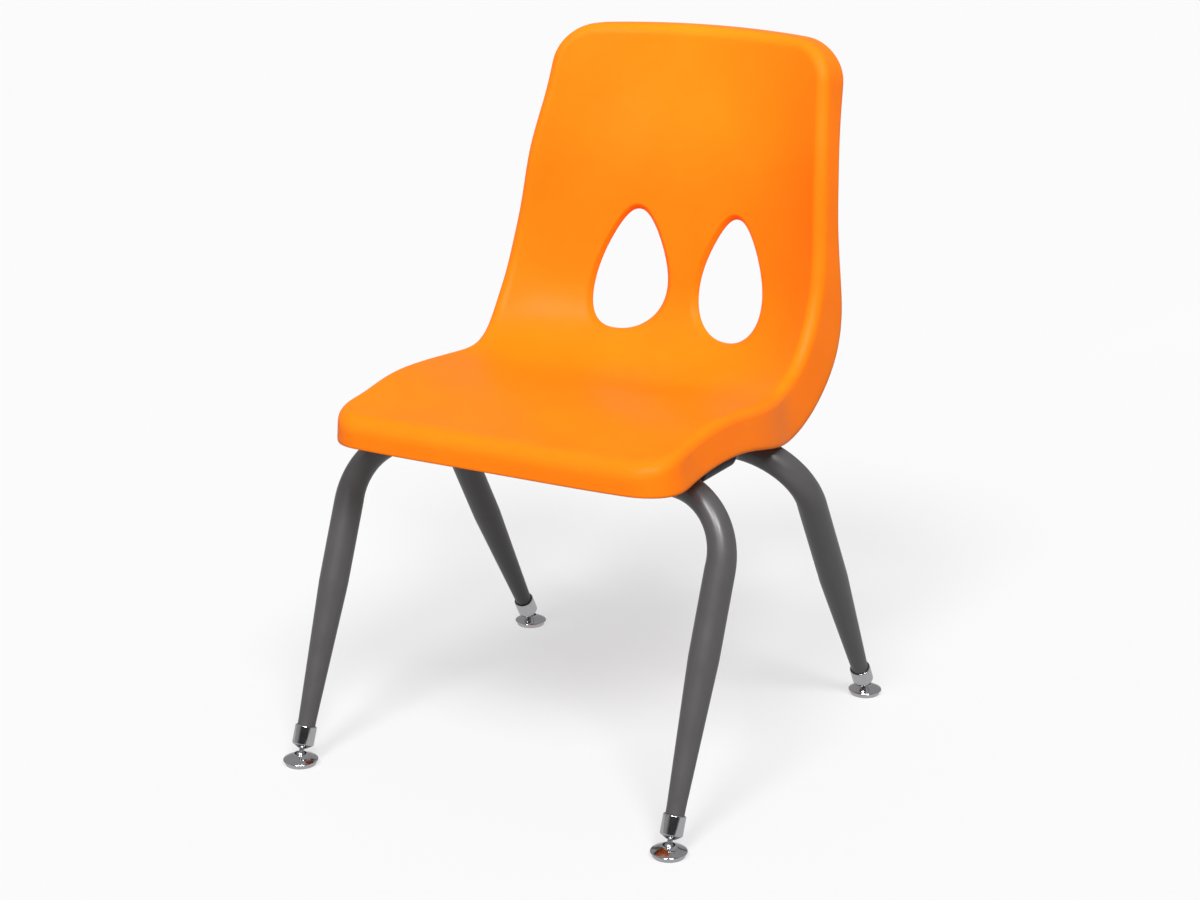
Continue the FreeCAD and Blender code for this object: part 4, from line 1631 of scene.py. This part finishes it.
@dataclass
class Studio:
    """A pale floor, soft lights and the camera.

    Places and sizes are in metres, angles in degrees. A softbox is its azimuth, its elevation
    and its strength. The floor's lift is its own glow, so that shadows stay faint; the bounce
    is what the chair's underside gets of it, and the sheen what glossy surfaces see. In
    reflections the room is as bright as room_side, and falls to room_front behind the camera.
    Its fill is the even light on matt surfaces, and the backdrop is what the camera sees.
    """

    camera_place: tuple[float, float, float] = (1.2826, -2.2504, 1.1219)
    azimuth: float = 29.55
    elevation: float = 17.15
    lens: float = 75.2
    right_softbox: tuple[float, float, float] = (46.0, 50.0, 2.3)
    left_softbox: tuple[float, float, float] = (6.0, 50.0, 2.2)
    floor_radius: float = 30.0
    floor_colour: str = "#8A8A8B"
    floor_lift: float = 0.6
    floor_bounce: float = 0.06
    softness: float = 18.0
    room_side: float = 0.3
    room_front: float = 0.036
    front_band: tuple[float, float] = (0.35, 0.85)
    room_fill: float = 0.34
    backdrop: float = 0.95
    floor_sheen: float = 0.5
    snoot_place: tuple[float, float, float] = (-0.3, -1.6, 1.5)
    snoot_target: tuple[float, float, float] = (-0.02, 0.22, 0.74)
    snoot_cone: float = 9.0
    snoot_size: float = 0.12
    snoot_power: float = 120.0

    def build_floor(self) -> None:
        """Lay the floor, which shows only from above."""
        mesh = bpy.data.meshes.new("studio_floor")
        rim = [Vector((math.cos(math.pi * k / 32), math.sin(math.pi * k / 32), 0)) * self.floor_radius
               for k in range(64)]
        mesh.from_pydata(rim, [], [tuple(range(64))])
        material = bpy.data.materials.new("matt_white_floor")
        material.use_nodes = True
        tree = material.node_tree
        tree.nodes.clear()
        ray = add(tree, "ShaderNodeLightPath")
        lift = add(tree, "ShaderNodeMapRange", {
            "Value": ray.outputs["Is Diffuse Ray"], "To Min": self.floor_lift,
            "To Max": self.floor_bounce})
        surface = add(tree, "ShaderNodeBsdfPrincipled", {
            "Base Color": linear(self.floor_colour), "Roughness": 0.8, "Specular IOR Level": 0.1,
            "Emission Color": (1.0, 1.0, 1.0, 1.0), "Emission Strength": lift.outputs["Result"]})
        sheen = add(tree, "ShaderNodeEmission", {"Strength": self.floor_sheen})
        seen = add(tree, "ShaderNodeMixShader", {
            0: ray.outputs["Is Glossy Ray"], 1: surface.outputs[0], 2: sheen.outputs[0]})
        clear = add(tree, "ShaderNodeBsdfTransparent")
        side = add(tree, "ShaderNodeNewGeometry")
        mixed = add(tree, "ShaderNodeMixShader", {
            0: side.outputs["Backfacing"], 1: seen.outputs[0], 2: clear.outputs[0]})
        add(tree, "ShaderNodeOutputMaterial", {"Surface": mixed.outputs[0]})
        mesh.materials.append(material)
        floor = bpy.data.objects.new("studio_floor", mesh)
        bpy.context.scene.collection.objects.link(floor)

    def build_sun(self, name: str, azimuth: float, elevation: float, strength: float) -> None:
        """Hang a broad soft light far off, so that it falls evenly on the chair and the floor.

        Args:
            name: its name.
            azimuth: where it hangs, in degrees round from the chair's front to its left.
            elevation: its height, in degrees.
            strength: watts on each square metre that faces it.
        """
        data = bpy.data.lights.new(name, "SUN")
        data.energy = strength
        data.angle = math.radians(self.softness)
        lamp = bpy.data.objects.new(name, data)
        lamp.rotation_euler = (math.radians(90 - elevation), 0.0, math.radians(azimuth))
        bpy.context.scene.collection.objects.link(lamp)

    def build_snoot(self) -> None:
        """Hang a narrow soft-edged spot on the top of the back, a little to the sitter's right."""
        data = bpy.data.lights.new("back_snoot", "SPOT")
        data.energy = self.snoot_power
        data.spot_size = math.radians(self.snoot_cone)
        data.spot_blend = 1.0
        data.shadow_soft_size = self.snoot_size
        lamp = bpy.data.objects.new("back_snoot", data)
        target, place = Vector(self.snoot_target), Vector(self.snoot_place)
        lamp.location = place
        lamp.rotation_euler = (target - place).to_track_quat("-Z", "Y").to_euler()
        bpy.context.scene.collection.objects.link(lamp)

    def build_sky(self) -> None:
        """Light the room: a white backdrop, an even fill, and for reflections a darker front."""
        world = bpy.data.worlds.new("studio")
        world.use_nodes = True
        tree = world.node_tree
        tree.nodes.clear()
        towards = add(tree, "ShaderNodeTexCoord").outputs["Generated"]
        front = Vector(self.camera_place).normalized()
        facing = add(tree, "ShaderNodeVectorMath", {0: towards, 1: front}, operation="DOT_PRODUCT")
        room = add(tree, "ShaderNodeMapRange", {
            "Value": facing.outputs["Value"], "From Min": self.front_band[0],
            "From Max": self.front_band[1], "To Min": self.room_side, "To Max": self.room_front},
            interpolation_type="SMOOTHSTEP")
        ray = add(tree, "ShaderNodeLightPath")
        reflected = add(tree, "ShaderNodeMix", {
            0: ray.outputs["Is Diffuse Ray"], 2: room.outputs["Result"], 3: self.room_fill})
        seen = add(tree, "ShaderNodeMix", {
            0: ray.outputs["Is Camera Ray"], 2: reflected.outputs[0], 3: self.backdrop})
        light = add(tree, "ShaderNodeBackground", {
            "Color": (1.0, 1.0, 1.0, 1.0), "Strength": seen.outputs[0]})
        add(tree, "ShaderNodeOutputWorld", {"Surface": light.outputs["Background"]})
        bpy.context.scene.world = world

    def build_camera(self) -> None:
        """Set the camera."""
        data = bpy.data.cameras.new("camera")
        data.lens = self.lens
        data.sensor_width = 36.0
        data.clip_start, data.clip_end = 0.05, 200.0
        camera = bpy.data.objects.new("camera", data)
        camera.location = self.camera_place
        camera.rotation_euler = (math.radians(90 - self.elevation), 0.0, math.radians(self.azimuth))
        bpy.context.scene.collection.objects.link(camera)
        bpy.context.scene.camera = camera

    def build(self) -> None:
        """Build the whole studio."""
        self.build_floor()
        self.build_camera()
        self.build_sun("right_softbox", *self.right_softbox)
        self.build_sun("left_softbox", *self.left_softbox)
        self.build_snoot()
        self.build_sky()
        bpy.context.scene.view_settings.view_transform = "Standard"


FINISHES: tuple[Finish, ...] = (
    # Orange polypropylene, satin from the mould: a broad soft highlight and no sharp reflection.
    # The mould's grain is under half a millimetre, drawn at 1.2 so that it shows.
    MouldedPolypropylene("moulded_polypropylene", Slot.SHELL, "#FD7C12", "#FB7810", 0.0,
                         (0.34, 0.40), 60.0, 1.2, 0.015),
    # Charcoal grey baked enamel: even and semi-gloss, with an orange peel 3 mm across.
    BakedEnamel("baked_enamel", Slot.ENAMEL, "#4C4A4B", "#494748", 0.0,
                (0.36, 0.44), 25.0, 0.6, 0.012),
    # Bright nickel-chrome: sharp reflections, a little cloudier where it is handled.
    NickelChrome("nickel_chrome", Slot.CHROME, "#DCDCDE", "#D4D4D7", 1.0,
                 (0.08, 0.16), 6.0, 1.5, 0.004),
    # Black nylon: nearly matt.
    MouldedNylon("moulded_nylon", Slot.NYLON, "#1B1B1C", "#161617", 0.0,
                 (0.45, 0.58), 8.0, 0.8, 0.02),
    # Zinc plate: grey and cloudy.
    ZincPlate("zinc_plate", Slot.ZINC, "#B9BCC0", "#A7ABB0", 1.0,
              (0.28, 0.42), 4.0, 0.7, 0.008),
)


def main() -> None:
    """Build the chair and the studio, in order."""
    logging.basicConfig(level=logging.INFO, format="%(name)s: %(message)s")
    dressing = Dressing({finish.slot: finish.build() for finish in FINISHES})
    sizes = FrameSizes()
    MouldedShell(sizes).build(dressing)
    LegBows(sizes).build(dressing)
    SeatBrackets(sizes).build(dressing)
    StackBumpers(sizes).build(dressing)
    for foot in Foot:
        SwivelGlide(sizes, foot).build(dressing)
    Studio().build()


if __name__ == "__main__":
    main()
